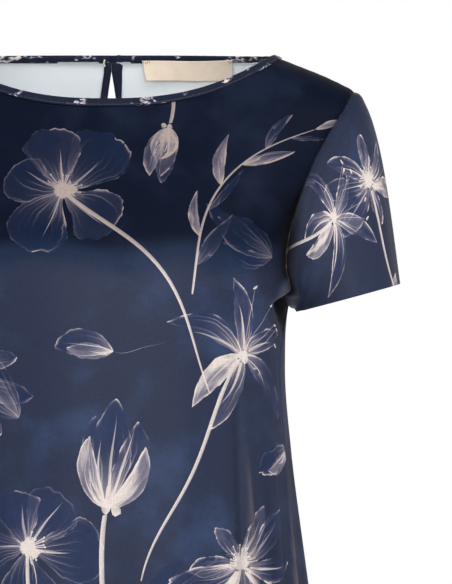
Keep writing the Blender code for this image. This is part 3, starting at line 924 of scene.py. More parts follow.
BLOOMS = {
    # Eight slim petals seen from the side, those at the back shorter.
    Motif.COSMOS: Bloom(
        (
            (8, 62, 10, 14, 2, 0.05), (52, 50, 8, -20, 2, 0.10), (97, 40, 7, 26, 1, 0.20),
            (141, 48, 8.5, 30, 2, 0.06), (178, 66, 11, -24, 2, 0.04), (221, 56, 9, -40, 1, 0.65),
            (268, 40, 8, 16, 2, 0.12), (318, 58, 10, 34, 2, 0.06),
        ),
        outline=(1.35, 0.62, 0.95),
        heart=(5.0, 20),
        stem=((1, -3), -84, 185, -40, 40, 2.2),
        stamens=((2.0, 30, 15, 0.7, 80),),
    ),
    # Five broad petals as sheer as glass, full of fine folds.
    Motif.WILD_ROSE: Bloom(
        (
            (24, 68, 27, 20, 4, 0.03), (88, 58, 24, -10, 4, 0.05), (150, 52, 22, -24, 3, 0.04),
            (214, 60, 26, 18, 5, 0.03), (296, 56, 24, 10, 4, 0.05),
        ),
        outline=(2.0, 0.5, 0.62),
        heart=(6.0, 60),
        stem=((2, -4), -62, 210, -50, -20, 2.3),
        stamens=((0.0, 34, 19, 0.62, 40),),
    ),
    # A cup of petals seen from the side, two of them curled right out, with ghostly leaves on its stem.
    Motif.TULIP: Bloom(
        (
            (92, 84, 17, 8, 2, 0.04), (66, 78, 14, 34, 3, 0.06), (118, 80, 14, -30, 2, 0.05),
            (38, 62, 8, 62, 1, 0.55), (146, 66, 8, -70, 1, 0.50),
        ),
        outline=(0.95, 0.72, 1.0),
        heart=(5.5, 90),
        stem=((0, -3), -88, 250, -30, 30, 2.7),
        leaves=((14, 68, 120, -34, 9, 0.03, 0.42, 1), (17, 118, 96, 40, 7, 0.02, 0.34, 2)),
    ),
    # Six pointed petals that roll back, and long filaments that reach past them.
    Motif.LILY: Bloom(
        (
            (10, 74, 9.5, -52, 1, 0.08), (66, 60, 9, -34, 2, 0.05), (118, 66, 9.5, 40, 1, 0.12),
            (172, 76, 9.5, 50, 2, 0.05), (236, 62, 10, 44, 1, 0.60), (304, 64, 10, -48, 2, 0.10),
        ),
        outline=(0.9, 0.85, 1.1),
        heart=(5.0, 40),
        stem=((0, -3), -98, 200, 20, 50, 2.4),
        filaments=(38, 52, 71, 93, 108),
    ),
    # A half-open bud whose sepals turn back, on a hooked stem.
    Motif.BUD: Bloom(
        (
            (90, 50, 9, 10, 2, 0.10), (72, 46, 8, 30, 1, 0.30), (108, 48, 7, -24, 2, 0.16),
            (40, 34, 3.0, 90, 0, 0.60), (142, 38, 3.0, -100, 0, 0.55),
        ),
        outline=(0.95, 0.75, 0.95),
        heart=(3.2, 90),
        stem=((0, -1), -92, 190, 60, 85, 2.1),
    ),
}


@dataclass
class Flower:
    """One printed flower, drawn at the origin, then turned, sized and moved to its place on the cloth."""

    motif: Motif
    across: float
    up: float
    turn: float
    size: float
    seed: int
    slim: float = 6.0

    def __post_init__(self) -> None:
        """Seeds the flower's own chances."""
        self.rng = np.random.default_rng(self.seed)

    def draw(self) -> Artwork:
        """Draws the flower and puts it in its place.

        Returns:
            Its strokes and stamens in the cloth's coordinates.
        """
        others = {Motif.SPRIG: self.sprig, Motif.PETAL: self.loose_petals, Motif.GHOST: self.ghost}
        art = others.get(self.motif, self.bloom)()
        spin = self.size * rotation(self.turn)
        move = np.array([self.across, self.up])
        for number, stroke in enumerate(art.strokes):
            stroke.path = stroke.path @ spin + move
            stroke.half_width *= self.size
            stroke.seed = (self.seed * 1.37 + number * 0.71) % 29
        for number, burst in enumerate(art.bursts):
            burst.centre = burst.centre @ spin + move
            burst.length *= self.size
            burst.heading += self.turn
            burst.seed = (self.seed * 2.11 + number) % 31
        return art

    def stem(
        self, start: tuple[float, float], heading: float, length: float, bend: float, wide: float
    ) -> Stroke:
        """A stem that thins towards its end and sways a little: a long blunt stroke."""
        path = curved_path(np.array(start), heading, length, bend, 12)
        return Stroke(path, wide, blunt=0.10, taper=0.55, fill=0.92)

    def petals(self, rows: tuple[tuple, ...], skew: float, blunt: float, rim: float) -> list[Stroke]:
        """Sheer petals from one middle, each with a bright fold that leaves its foot, bends with it and
        fades.

        Args:
            rows: For each petal its heading, length, half width, bend, folds and fill.
            skew: How far out the widest place lies.
            blunt: How blunt the ends are.
            rim: How bright the edges are.

        Returns:
            The petals, then their folds.
        """
        made, folds = [], []
        chance = self.rng.uniform
        for heading, length, wide, bend, count, fill in rows:
            turn, long = heading + chance(-5, 5), length * chance(0.93, 1.07)
            path = curved_path(np.zeros(2), turn, long, bend, chance(-8, 8))
            ragged = chance(0.35, 0.6) if wide > self.slim else 0.15
            made.append(Stroke(path, wide, skew, blunt, ragged, 0.0, fill, rim * chance(0.75, 1.1), count))
            away = self.rng.choice((-1, 1)) * math.degrees(math.atan2(wide, long)) * chance(0.35, 0.9)
            ribbon = curved_path(np.zeros(2), turn + away, long * chance(0.6, 0.98), bend - 1.3 * away, 6)
            folds.append(Stroke(ribbon, chance(0.7, 1.9), 0.75, 0.75, 0.5, 0.5, chance(0.5, 0.9)))
        return made + folds

    def heart(self, radius: float, heading: float) -> list[Stroke]:
        """The solid middle of a flower: two short fat ragged strokes that cross.

        Args:
            radius: Its radius.
            heading: The first stroke's heading.

        Returns:
            Both strokes.
        """
        ahead = rotation(heading)[0]
        first = curved_path(-radius * ahead, heading, 2.3 * radius, 20)
        second = curved_path(radius * 0.7 * ahead[::-1], heading - 100, 1.6 * radius, 0)
        return [Stroke(path, 0.75 * radius, 1.0, 0.6, 0.8, fill=0.95) for path in (first, second)]

    def bloom(self) -> Artwork:
        """A flower of a kind that BLOOMS gives: heart and petals, filaments, stem, leaves and stamens.

        Returns:
            The flower at the origin.
        """
        kind = BLOOMS[self.motif]
        art = Artwork(self.heart(*kind.heart) + self.petals(kind.petals, *kind.outline))
        for heading in kind.filaments:
            path = curved_path(np.zeros(2), heading, self.rng.uniform(44, 60), self.rng.uniform(-30, 30))
            anther = curved_path(path[-1] - [2, 1], heading - 60, 6.5, 30)
            art.strokes += [Stroke(path, 0.5, blunt=0.1, fill=0.8), Stroke(anther, 1.3, 1.0, 0.7, 0.4)]
        foot, heading, length, least, most, wide = kind.stem
        stem = self.stem(foot, heading, length, self.rng.uniform(least, most), wide)
        art.strokes.append(stem)
        for place, heading, length, bend, wide, fill, rim, folds in kind.leaves:
            path = curved_path(stem.path[place], heading, length, bend, 8)
            art.strokes.append(Stroke(path, wide, 0.75, 0.9, 0.4, 0, fill, rim, folds))
        for above, *spray in kind.stamens:
            art.bursts.append(Burst(np.array([0, above]), *spray))
        return art

    def sprig(self) -> Artwork:
        """A curved stem with slim leaves to each side of it, some solid, most of them ghosts, one at its end.

        Returns:
            The sprig at the origin.
        """
        stem = self.stem((0, 0), 90, 190, self.rng.uniform(-60, -30), 1.5)
        art = Artwork([stem])
        for k, place in enumerate((3, 6, 9, 12, 15, 18, 21, 24)):
            ahead = math.degrees(math.atan2(*(stem.path[place] - stem.path[place - 1])[::-1]))
            out = 0 if place == 24 else (38 if k % 2 else -38) + self.rng.uniform(-10, 10)
            long = self.rng.uniform(44, 62) * (1 - 0.014 * place)
            path = curved_path(stem.path[place], ahead + out, long, -out * self.rng.uniform(0.4, 1.2), 6)
            bright = self.rng.choice((0.9, 0.35, 0.25))
            fill = 0.4 * bright**2
            wide = long * self.rng.uniform(0.07, 0.13)
            art.strokes.append(Stroke(path, wide, 0.8, 0.9, 0.4, 0, fill, bright, 1))
        return art

    def loose_petals(self) -> Artwork:
        """Two loose petals, one folded over the other, and a curled thread of a stalk.

        Returns:
            Both at the origin.
        """
        rows = ((82, 56, 13, 34, 2, 0.04), (116, 44, 8, -30, 1, 0.25))
        art = Artwork(self.petals(rows, 1.1, 0.7, 0.8))
        stalk = curved_path(np.zeros(2), -100, 60, 80, 20)
        art.strokes.append(Stroke(stalk, 0.6, blunt=0.3, taper=0.6, fill=0.8))
        return art

    def ghost(self) -> Artwork:
        """Leaves so sheer that little but a deeper blue shows, with a few pale lines.

        Returns:
            The leaves at the origin.
        """
        art = Artwork()
        for heading, length, wide, bend in ((70, 84, 11, 40), (100, 104, 13, -20), (132, 70, 9, -46)):
            path = curved_path(np.zeros(2), heading + self.rng.uniform(-8, 8), length, bend, 8)
            art.strokes.append(Stroke(path, wide, 0.9, 0.8, 0.6, 0, 0.01, self.rng.uniform(0.14, 0.34), 2))
        return art


@dataclass
class Printing:
    """Puts artwork on a shell. Each face of the cloth carries up to so many strokes, one to a layer: where it
    lies on the stroke is stored at its corners, and the stroke's own numbers on the face."""

    layers: int = 6
    burst_layers: int = 1
    reach: float = 3.2
    ragged_over: float = 0.17

    def put(self, piece: Piece, cloth: Cloth, art: Artwork) -> int:
        """Stores the artwork as attributes of the shell made from a cloth.

        Args:
            piece: The shell.
            cloth: The cloth that the shell was made from.
            art: What is printed.

        Returns:
            How many strokes found no free layer on some face.
        """
        corners = cloth.place[cloth.quads][..., :2]
        centres = corners.mean(axis=1)
        kinds = (("place", (4, 3)), ("form", (3,)), ("shape", (3,)), ("tone", (3,)))
        tables = {name: np.zeros((self.layers, len(corners), *shape)) for name, shape in kinds}
        used = np.zeros(len(corners), int)
        crowded = 0
        for stroke in art.strokes:
            margin = stroke.half_width + self.reach
            low, high = stroke.path.min(axis=0) - margin, stroke.path.max(axis=0) + margin
            near = np.flatnonzero(((centres > low) & (centres < high)).all(axis=1))
            if not len(near):
                continue
            along, across = stroke.measure(centres[near]).T
            over = self.reach / stroke.length() + self.ragged_over * stroke.ragged
            beside = np.abs(across) < stroke.outline(along) + self.reach
            near = near[beside & (np.abs(along - 0.5) < 0.5 + over)]
            free = used[near] < self.layers
            crowded += int((~free).any())
            near = near[free]
            slot = used[near]
            used[near] += 1
            at = stroke.measure(corners[near].reshape(-1, 2)).reshape(-1, 4, 2)
            tables["place"][slot, near] = np.pad(at, ((0, 0), (0, 0), (0, 1)), constant_values=stroke.seed)
            tables["form"][slot, near] = (stroke.half_width, stroke.skew, stroke.blunt)
            tables["shape"][slot, near] = (stroke.length(), stroke.ragged, stroke.taper)
            tables["tone"][slot, near] = (stroke.fill, stroke.rim, stroke.folds)
        self.store(piece.data, tables)
        self.put_bursts(piece.data, corners, centres, art.bursts)
        return crowded

    def put_bursts(self, mesh: Mesh, corners: Array, centres: Array, bursts: list[Burst]) -> None:
        """Stores the sprays of stamens: where each corner lies from the spray's middle, turned by its
        heading, and the spray's own numbers.

        Args:
            mesh: The shell's mesh.
            corners: The places of each quad's corners.
            centres: The places of the quads' middles.
            bursts: The sprays.
        """
        place, form = (np.zeros((self.burst_layers, len(corners), *shape)) for shape in ((4, 3), (3,)))
        used = np.zeros(len(corners), int)
        for burst in bursts:
            near = np.linalg.norm(centres - burst.centre, axis=1) < burst.length + self.reach
            near = np.flatnonzero(near & (used < self.burst_layers))
            slot = used[near]
            used[near] += 1
            at = (corners[near] - burst.centre) @ rotation(-burst.heading)
            place[slot, near] = np.pad(at, ((0, 0), (0, 0), (0, 1)), constant_values=burst.seed)
            form[slot, near] = (burst.count, burst.length, burst.spread)
        self.store(mesh, {"spray": place, "spray_form": form})

    def store(self, mesh: Mesh, tables: dict[str, Array]) -> None:
        """Writes each layer as an attribute: outer faces, then inner faces turned round, then rims with none.

        Args:
            mesh: The shell's mesh.
            tables: For each name its layers of rows, one row for each outer face.
        """
        for name, values in tables.items():
            for layer, rows in enumerate(values):
                at_corners = rows.ndim == 3
                rims = np.zeros((len(mesh.polygons) - 2 * len(rows), *rows.shape[1:]))
                every = np.concatenate([rows, rows[:, ::-1] if at_corners else rows, rims])
                put_attribute(mesh, f"{name}_{layer}", "CORNER" if at_corners else "FACE", every)


def artwork(table: Layout) -> Artwork:
    """Draws all the flowers of a layout.

    Args:
        table: The flowers' rows.

    Returns:
        Their strokes and bursts, the first flower uppermost.
    """
    art = Artwork()
    for row in table:
        drawn = Flower(*row).draw()
        art.strokes += drawn.strokes
        art.bursts += drawn.bursts
    return art


# ---- Node graphs ----

ORIGIN = (0.0, 0.0, 0.0)
BLACK = (0.0, 0.0, 0.0)


class Signal:
    """A node's output that can be reckoned with: each operation adds one Math node to its graph."""

    def __init__(self, graph: "Graph", socket: NodeSocket) -> None:
        """Remembers the graph and the output."""
        self.graph, self.socket = graph, socket

    def __add__(self, other: "Signal | float") -> "Signal":
        """The sum."""
        return self.graph.math("ADD", self, other)

    def __sub__(self, other: "Signal | float") -> "Signal":
        """The difference."""
        return self.graph.math("SUBTRACT", self, other)

    def __rsub__(self, other: float) -> "Signal":
        """A number less this."""
        return self.graph.math("SUBTRACT", other, self)

    def __mul__(self, other: "Signal | float") -> "Signal":
        """The product."""
        return self.graph.math("MULTIPLY", self, other)

    def __truediv__(self, other: "Signal | float") -> "Signal":
        """The quotient."""
        return self.graph.math("DIVIDE", self, other)

    def __rtruediv__(self, other: float) -> "Signal":
        """A number over this."""
        return self.graph.math("DIVIDE", other, self)

    def __pow__(self, other: "Signal | float") -> "Signal":
        """This to a power."""
        return self.graph.math("POWER", self, other)

    __radd__, __rmul__ = __add__, __mul__


class Graph:
    """Builds a node tree a step at a time."""

    def __init__(self, tree: NodeTree) -> None:
        """Remembers the tree."""
        self.tree = tree

    def feed(self, socket: NodeSocket, value: object) -> None:
        """Links a signal to an input, or sets the input's own value.

        Args:
            socket: The input.
            value: A signal, or a value.
        """
        if isinstance(value, Signal):
            self.tree.links.new(value.socket, socket)
        elif isinstance(value, tuple) and len(value) == 3 and socket.type == "RGBA":
            socket.default_value = (*value, 1)
        else:
            socket.default_value = value

    def node(self, kind: str, feeds: dict[int | str, object], **settings: object) -> Node:
        """A new node.

        Args:
            kind: Its type.
            feeds: What each of its inputs gets.
            settings: The properties to set first.

        Returns:
            The node.
        """
        node = self.tree.nodes.new(kind)
        for name, value in settings.items():
            setattr(node, name, value)
        for name, value in feeds.items():
            self.feed(node.inputs[name], value)
        return node

    def signals(self, node: Node) -> list[Signal]:
        """All of a node's outputs."""
        return [Signal(self, socket) for socket in node.outputs]

    def math(self, operation: str, *values: "Signal | float") -> Signal:
        """One Math node."""
        return self.signals(self.node("ShaderNodeMath", dict(enumerate(values)), operation=operation))[0]

    def remap(self, value: Signal, low: float, high: float, to_low: float = 0, to_high: float = 1) -> Signal:
        """A smooth step from to_low at low to to_high at high."""
        feeds = dict(enumerate((value, low, high, to_low, to_high)))
        return self.signals(self.node("ShaderNodeMapRange", feeds, interpolation_type="SMOOTHSTEP"))[0]

    def blend(self, share: "Signal | float", first: object, second: object) -> Signal:
        """The first colour going over to the second as the share goes from 0 to 1."""
        return self.signals(self.node("ShaderNodeMix", {0: share, 6: first, 7: second}, data_type="RGBA"))[2]

    def noise(self, place: Signal, scale: float, detail: float = 2, roughness: float = 0.5) -> Signal:
        """A soft noise between 0 and 1."""
        feeds = {"Vector": place, "Scale": scale, "Detail": detail, "Roughness": roughness}
        return self.signals(self.node("ShaderNodeTexNoise", feeds))[0]

    def chance(self, number: Signal, seed: Signal) -> list[Signal]:
        """Three random numbers from 0 to 1 for each whole number and seed."""
        feeds = {"Vector": self.join(number, seed, 0.0)}
        return self.parts(self.signals(self.node("ShaderNodeTexWhiteNoise", feeds, noise_dimensions="2D"))[1])

    def join(self, x: "Signal | float", y: "Signal | float", z: "Signal | float") -> Signal:
        """Three numbers as one vector."""
        return self.signals(self.node("ShaderNodeCombineXYZ", {0: x, 1: y, 2: z}))[0]

    def parts(self, vector: Signal) -> list[Signal]:
        """A vector's three numbers."""
        return self.signals(self.node("ShaderNodeSeparateXYZ", {0: vector}))

    def attribute(self, name: str) -> Signal:
        """A vector attribute of the piece."""
        return self.signals(self.node("ShaderNodeAttribute", {}, attribute_name=name))[1]

    def object_place(self) -> Signal:
        """The place on the piece, in metres."""
        return Signal(self, self.node("ShaderNodeTexCoord", {}).outputs["Object"])

    def use(self, tree: NodeTree, **values: object) -> dict[str, Signal]:
        """Places an effect, its inputs given by name, and gives its outputs by name."""
        signals = self.signals(self.node("ShaderNodeGroup", values, node_tree=tree))
        return {signal.socket.name: signal for signal in signals}

    def bump(self, height: Signal, distance: float, strength: float) -> Signal:
        """A normal bent by a height, so many metres deep."""
        feeds = {"Height": height, "Distance": distance, "Strength": strength}
        return self.signals(self.node("ShaderNodeBump", feeds))[0]


@dataclass
class Effect:
    """A shader node group under construction, with named inputs and outputs."""

    name: str
    inputs: dict[str, object]
    outputs: tuple[str, ...]

    def start(self) -> tuple[Graph, dict[str, Signal]]:
        """Makes the group's tree and sockets.

        Returns:
            Its graph, and its inputs by name.
        """
        tree = bpy.data.node_groups.new(self.name, "ShaderNodeTree")
        kinds = {3: "NodeSocketVector", 4: "NodeSocketColor"}
        for name, value in self.inputs.items():
            kind = kinds[len(value)] if isinstance(value, tuple) else "NodeSocketFloat"
            tree.interface.new_socket(name=name, in_out="INPUT", socket_type=kind).default_value = value
        for name in self.outputs:
            kind = "NodeSocketColor" if name == "Color" else "NodeSocketFloat"
            tree.interface.new_socket(name=name, in_out="OUTPUT", socket_type=kind)
        graph = Graph(tree)
        signals = graph.signals(graph.node("NodeGroupInput", {}))
        return graph, {signal.socket.name: signal for signal in signals}

    def end(self, graph: Graph, **values: Signal) -> NodeTree:
        """Joins the outputs and gives the finished tree."""
        graph.node("NodeGroupOutput", values)
        return graph.tree


class Effects:
    """The shared effects, each built once when it is first asked for."""

    made: dict[str, NodeTree] = {}

    @classmethod
    def get(cls, name: str) -> NodeTree:
        """The effect of this name.

        Args:
            name: Its name.

        Returns:
            Its node group.
        """
        if name not in cls.made:
            cls.made[name] = getattr(cls, name)()
        return cls.made[name]

    @staticmethod
    def petal_mark() -> NodeTree:
        """One stroke of the print. Its outline is (1 - taper s) sin(pi s^skew)^blunt of the half width, made
        ragged by noise; the outline less the distance across, over the length of its own slope, is the
        distance to the edge in millimetres. The mark is a thin veil, an uneven bright rim, folds that run
        along the petal like those of a curtain, sharp on one side and soft on the other, each to a reach of
        its own, and a bright foot.

        Returns:
            The node group.
        """
        effect = Effect(
            "petal_mark",
            dict.fromkeys(("Place", "Form", "Shape", "Tone"), ORIGIN),
            ("Mark", "Inside"),
        )
        graph, given = effect.start()
        along, across, seed = graph.parts(given["Place"])
        wide, skew, blunt = graph.parts(given["Form"])
        long, ragged, taper = graph.parts(given["Shape"])
        fill, rim, folds = graph.parts(given["Tone"])
        wide, long = graph.math("MAXIMUM", wide, 0.02), graph.math("MAXIMUM", long, 1.0)
        share = graph.math("ABSOLUTE", across) / wide
        clipped = graph.math("MINIMUM", graph.math("MAXIMUM", along, 0.0), 1.0)
        half = graph.math("SIGN", across)
        scallop = graph.noise(graph.join(across / wide * 2.6, seed * 3.1, 4.0), 1.0, 3) - 0.5
        ahead = along + scallop * ragged * 0.34 * clipped * clipped
        uneven = graph.noise(graph.join(along * 4.5, half * 2.0 + across / wide * 0.3, seed * 9.7), 1.0, 3)
        inner = graph.math("MINIMUM", graph.math("MAXIMUM", ahead, 0.001), 0.999)
        raised = inner**skew
        angle = raised * math.pi
        sine = graph.math("MAXIMUM", graph.math("SINE", angle), 0.0001)
        plain = sine**blunt
        profile = plain * (1.0 - taper * clipped) * (1.0 + (uneven - 0.5) * ragged * 1.1)
        slope = blunt * plain / sine * graph.math("COSINE", angle) * math.pi * skew * raised / inner / long
        steep = graph.math("SQRT", slope * slope + 1.0 / (wide * wide))
        edge = (profile - share) / steep
        between = graph.math("GREATER_THAN", ahead, 0.0) * graph.math("LESS_THAN", ahead, 1.0)
        inside = graph.remap(edge, 0.0, 0.5) * between
        lively = graph.remap(uneven, 0.38, 0.64)
        favoured = half * graph.math("SINE", seed * 7.7) * 0.5 + 0.5
        line_width = 0.30 + lively * (0.35 + favoured * 0.9)
        bright = (0.10 + lively * 0.90) * (0.40 + favoured * 0.60)
        line = graph.math("EXPONENT", (edge / line_width) ** 2.0 * -1.0) * bright
        haze = graph.math("EXPONENT", edge * -0.4) * favoured * lively * 0.16
        tip = graph.math("EXPONENT", (1.0 - clipped) * long * -0.24) * graph.remap(edge, 3.0, 0.0) * favoured
        signed = across / wide / graph.math("MAXIMUM", profile, 0.05)
        drift = graph.noise(graph.join(along * 1.7, signed * 0.7, seed * 5.3), 1.0, 2)
        crossing = signed * folds + drift * 2.4 + seed
        number = graph.math("FLOOR", crossing)
        luck, second, _ = graph.chance(number, seed)
        past = (crossing - number) * wide / graph.math("MAXIMUM", folds, 0.3)
        fold = graph.math("EXPONENT", past * -1.9) * 0.80 + graph.math("EXPONENT", past * -0.6) * 0.16
        reach = 0.35 + luck * 0.75
        fold = fold * graph.remap(clipped, reach, reach * 0.25) * (0.25 + second * 0.75)
        fold = fold * graph.math("MINIMUM", folds, 1.0) * graph.math("MINIMUM", rim * 1.3, 1.0)
        foot = graph.math("MINIMUM", folds, 1.0) * ((1.0 - clipped) ** 5.0) * 0.6 * rim
        cloudy = graph.remap(drift, 0.36, 0.64, 0.35, 1.3) * rim + (1.0 - rim)
        veil = fill * cloudy * (1.0 - (1.0 - rim) * 0.4 * (0.5 + signed * 0.5))
        mark = graph.math("MINIMUM", veil + rim * (line + haze + tip) + fold + foot, 1.0) * inside
        return effect.end(graph, Mark=mark, Inside=inside)

    @staticmethod
    def stamen_spray() -> NodeTree:
        """Fine filaments round a centre, each in its own slice of the turn with a length of its own and a dot
        at its end, over a small solid heart.

        Returns:
            The node group.
        """
        effect = Effect("stamen_spray", {"Place": ORIGIN, "Form": ORIGIN}, ("Mark",))
        graph, given = effect.start()
        x, y, seed = graph.parts(given["Place"])
        count, long, spread = graph.parts(given["Form"])
        radius = graph.math("SQRT", x * x + y * y)
        turned = graph.math("ARCTAN2", y, x) / (2 * math.pi)
        slices = turned * count + 40.5
        number = graph.math("FLOOR", slices)
        chance, second, _ = graph.chance(number, seed)
        facing = graph.remap(graph.math("ABSOLUTE", turned) * 2.0, spread, spread * 0.7)
        reach = long * (0.40 + chance * 0.60) * (0.35 + facing * 0.65)
        slice_off = slices - number - 0.5 + (second - 0.5) * 0.5
        off = slice_off / graph.math("MAXIMUM", count, 1.0) * (2 * math.pi)
        away = graph.math("ABSOLUTE", off) * radius
        filament = graph.remap(away, 0.62, 0.14) * graph.math("LESS_THAN", radius, reach)
        end = graph.math("SQRT", away * away + (radius - reach) ** 2.0)
        dot = graph.remap(end, 1.1, 0.55) * facing
        heart = graph.remap(radius + chance * long * 0.10, long * 0.46, long * 0.34)
        there = graph.math("GREATER_THAN", long, 0.5)
        mark = graph.math("MAXIMUM", graph.math("MAXIMUM", filament * 0.9, dot), heart) * there
        return effect.end(graph, Mark=mark)

    @staticmethod
    def print_tones() -> NodeTree:
        """Lays the print over the ground: blue inside the petals, mauve where the veil is thin, cream where
        it is full, all three darker over the chest by the same painted shade as the ground.

        Returns:
            The node group.
        """
        effect = Effect(
            "print_tones",
            {
                "Ground": (0.0, 0.0, 0.0, 1.0),
                "Blue": (0.0085, 0.0215, 0.0700, 1.0),
                "Mauve": (0.150, 0.138, 0.190, 1.0),
                "Cream": (0.60, 0.530, 0.492, 1.0),
                "Mark": 0.0,
                "Inside": 0.0,
                "Lower": 1.0,
            },
            ("Color",),
        )
        graph, given = effect.start()
        painted_chest_shade = 0.5 - given["Lower"] * 0.5
        # Painted shade: over the chest the print's tones are blended towards these darker ones.
        blue = graph.blend(painted_chest_shade, given["Blue"], (0.0010, 0.0060, 0.0180))
        mauve = graph.blend(painted_chest_shade, given["Mauve"], (0.090, 0.070, 0.085))
        cream = graph.blend(painted_chest_shade * 1.16, given["Cream"], (0.10, 0.05, 0.03))
        under = graph.blend(given["Inside"] * 0.5, given["Ground"], blue)
        thin = graph.blend(graph.remap(given["Mark"], 0.0, 0.42), under, mauve)
        return effect.end(graph, Color=graph.blend(graph.remap(given["Mark"], 0.30, 0.95), thin, cream))

    @staticmethod
    def shaded_cloudy_ground() -> NodeTree:
        """The ground: navy dye under a painted shade, darkest over the chest and lighter below in two smooth
        steps, with soft blue clouds of the print a hand across.

        Returns:
            The node group.
        """
        effect = Effect(
            "shaded_cloudy_ground",
            {
                "Place": ORIGIN,
                "Dark": (0.0022, 0.0056, 0.0168, 1.0),
                "Middle": (0.0108, 0.0200, 0.0470, 1.0),
                "Light": (0.0214, 0.0283, 0.0562, 1.0),
                "Cloud": (0.0330, 0.0530, 0.1150, 1.0),
                "High": -140.0,
                "Low": -196.0,
            },
            ("Color", "Lower"),
        )
        graph, given = effect.start()
        broad = graph.noise(given["Place"], 0.011, 2, 0.5)
        small = graph.noise(given["Place"], 0.027, 3, 0.55)
        _, up, _ = graph.parts(given["Place"])
        # Painted shade: darkest above the height High and lightest below Low, with a wavering edge.
        drop = (up + (broad - 0.5) * 45 - given["High"]) / (given["Low"] - given["High"])
        lower = graph.remap(drop, 0.0, 1.0)
        share = lower * (0.8 + 0.4 * small)
        upper = graph.blend(graph.remap(share, 0.0, 0.5), given["Dark"], given["Middle"])
        ground = graph.blend(graph.remap(share, 0.5, 1.0), upper, given["Light"])
        patch = graph.remap(broad * 0.6 + small * 0.4, 0.47, 0.66) * (0.12 + lower * 0.6)
        return effect.end(graph, Color=graph.blend(patch, ground, given["Cloud"]), Lower=lower)

    @staticmethod
    def satin_weave() -> NodeTree:
        """Satin's face: long floats along the cloth, a third of a millimetre apart and a few millimetres
        long, threads a little lighter or darker both ways of the cloth, and a fine grain.

        Returns:
            The node group.
        """
        effect = Effect("satin_weave", {"Place": ORIGIN}, ("Height", "Shade"))
        graph, given = effect.start()
        across, up, _ = graph.parts(given["Place"])
        floats = graph.noise(graph.join(across * 3.0, up * 0.45, 0.0), 1.0, 1)
        picks = graph.noise(graph.join(across * 0.10, up * 2.4, 7.0), 1.0, 2)
        ends = graph.remap(graph.noise(graph.join(across * 0.95, up * 0.13, 3.0), 1.0, 1), 0.3, 0.7)
        slubs = graph.remap(graph.noise(graph.join(across * 0.12, up * 0.95, 5.0), 1.0, 1), 0.3, 0.7)
        grain = graph.remap(graph.noise(graph.join(across * 0.8, up * 0.8, 8.0), 1.0, 1), 0.35, 0.65)
        shade = floats * 0.1 + picks * 0.1 + ends * 0.25 + slubs * 0.25 + grain * 0.3
        return effect.end(graph, Height=floats * 0.6 + picks * 0.4, Shade=shade)


# ---- Finishes ----


class Finish:
    """A finish, told by what it gives to each input of its shader."""

    name: str

    def inputs(self, graph: Graph) -> dict[str, object]:
        """The shader's inputs by name: signals, colours or numbers."""
        raise NotImplementedError

    def material(self) -> Material:
        """Builds the material.

        Returns:
            The material.
        """
        material = bpy.data.materials.new(self.name)
        material.use_nodes = True
        graph = Graph(material.node_tree)
        shader = material.node_tree.nodes["Principled BSDF"]
        for name, value in self.inputs(graph).items():
            graph.feed(shader.inputs[name], value)
        return material


def printed(graph: Graph, layers: int, sprays: int) -> tuple[Signal, Signal]:
    """All the print's layers together: each veil lets through what it doesn't cover.

    Args:
        graph: The material's graph.
        layers: How many stroke layers the piece has.
        sprays: How many layers of stamens.

    Returns:
        How much of the cloth is covered, and whether it is inside any stroke.
    """
    clear = outside = None
    for layer in range(layers):
        names = ("place", "form", "shape", "tone")
        inputs = {name.capitalize(): graph.attribute(f"{name}_{layer}") for name in names}
        made = graph.use(Effects.get("petal_mark"), **inputs)
        left, out = 1.0 - made["Mark"], 1.0 - made["Inside"]
        clear, outside = (clear * left, outside * out) if layer else (left, out)
    for layer in range(sprays):
        inputs = {"Place": graph.attribute(f"spray_{layer}"), "Form": graph.attribute(f"spray_form_{layer}")}
        clear = clear * (1.0 - graph.use(Effects.get("stamen_spray"), **inputs)["Mark"])
    return 1.0 - clear, 1.0 - outside


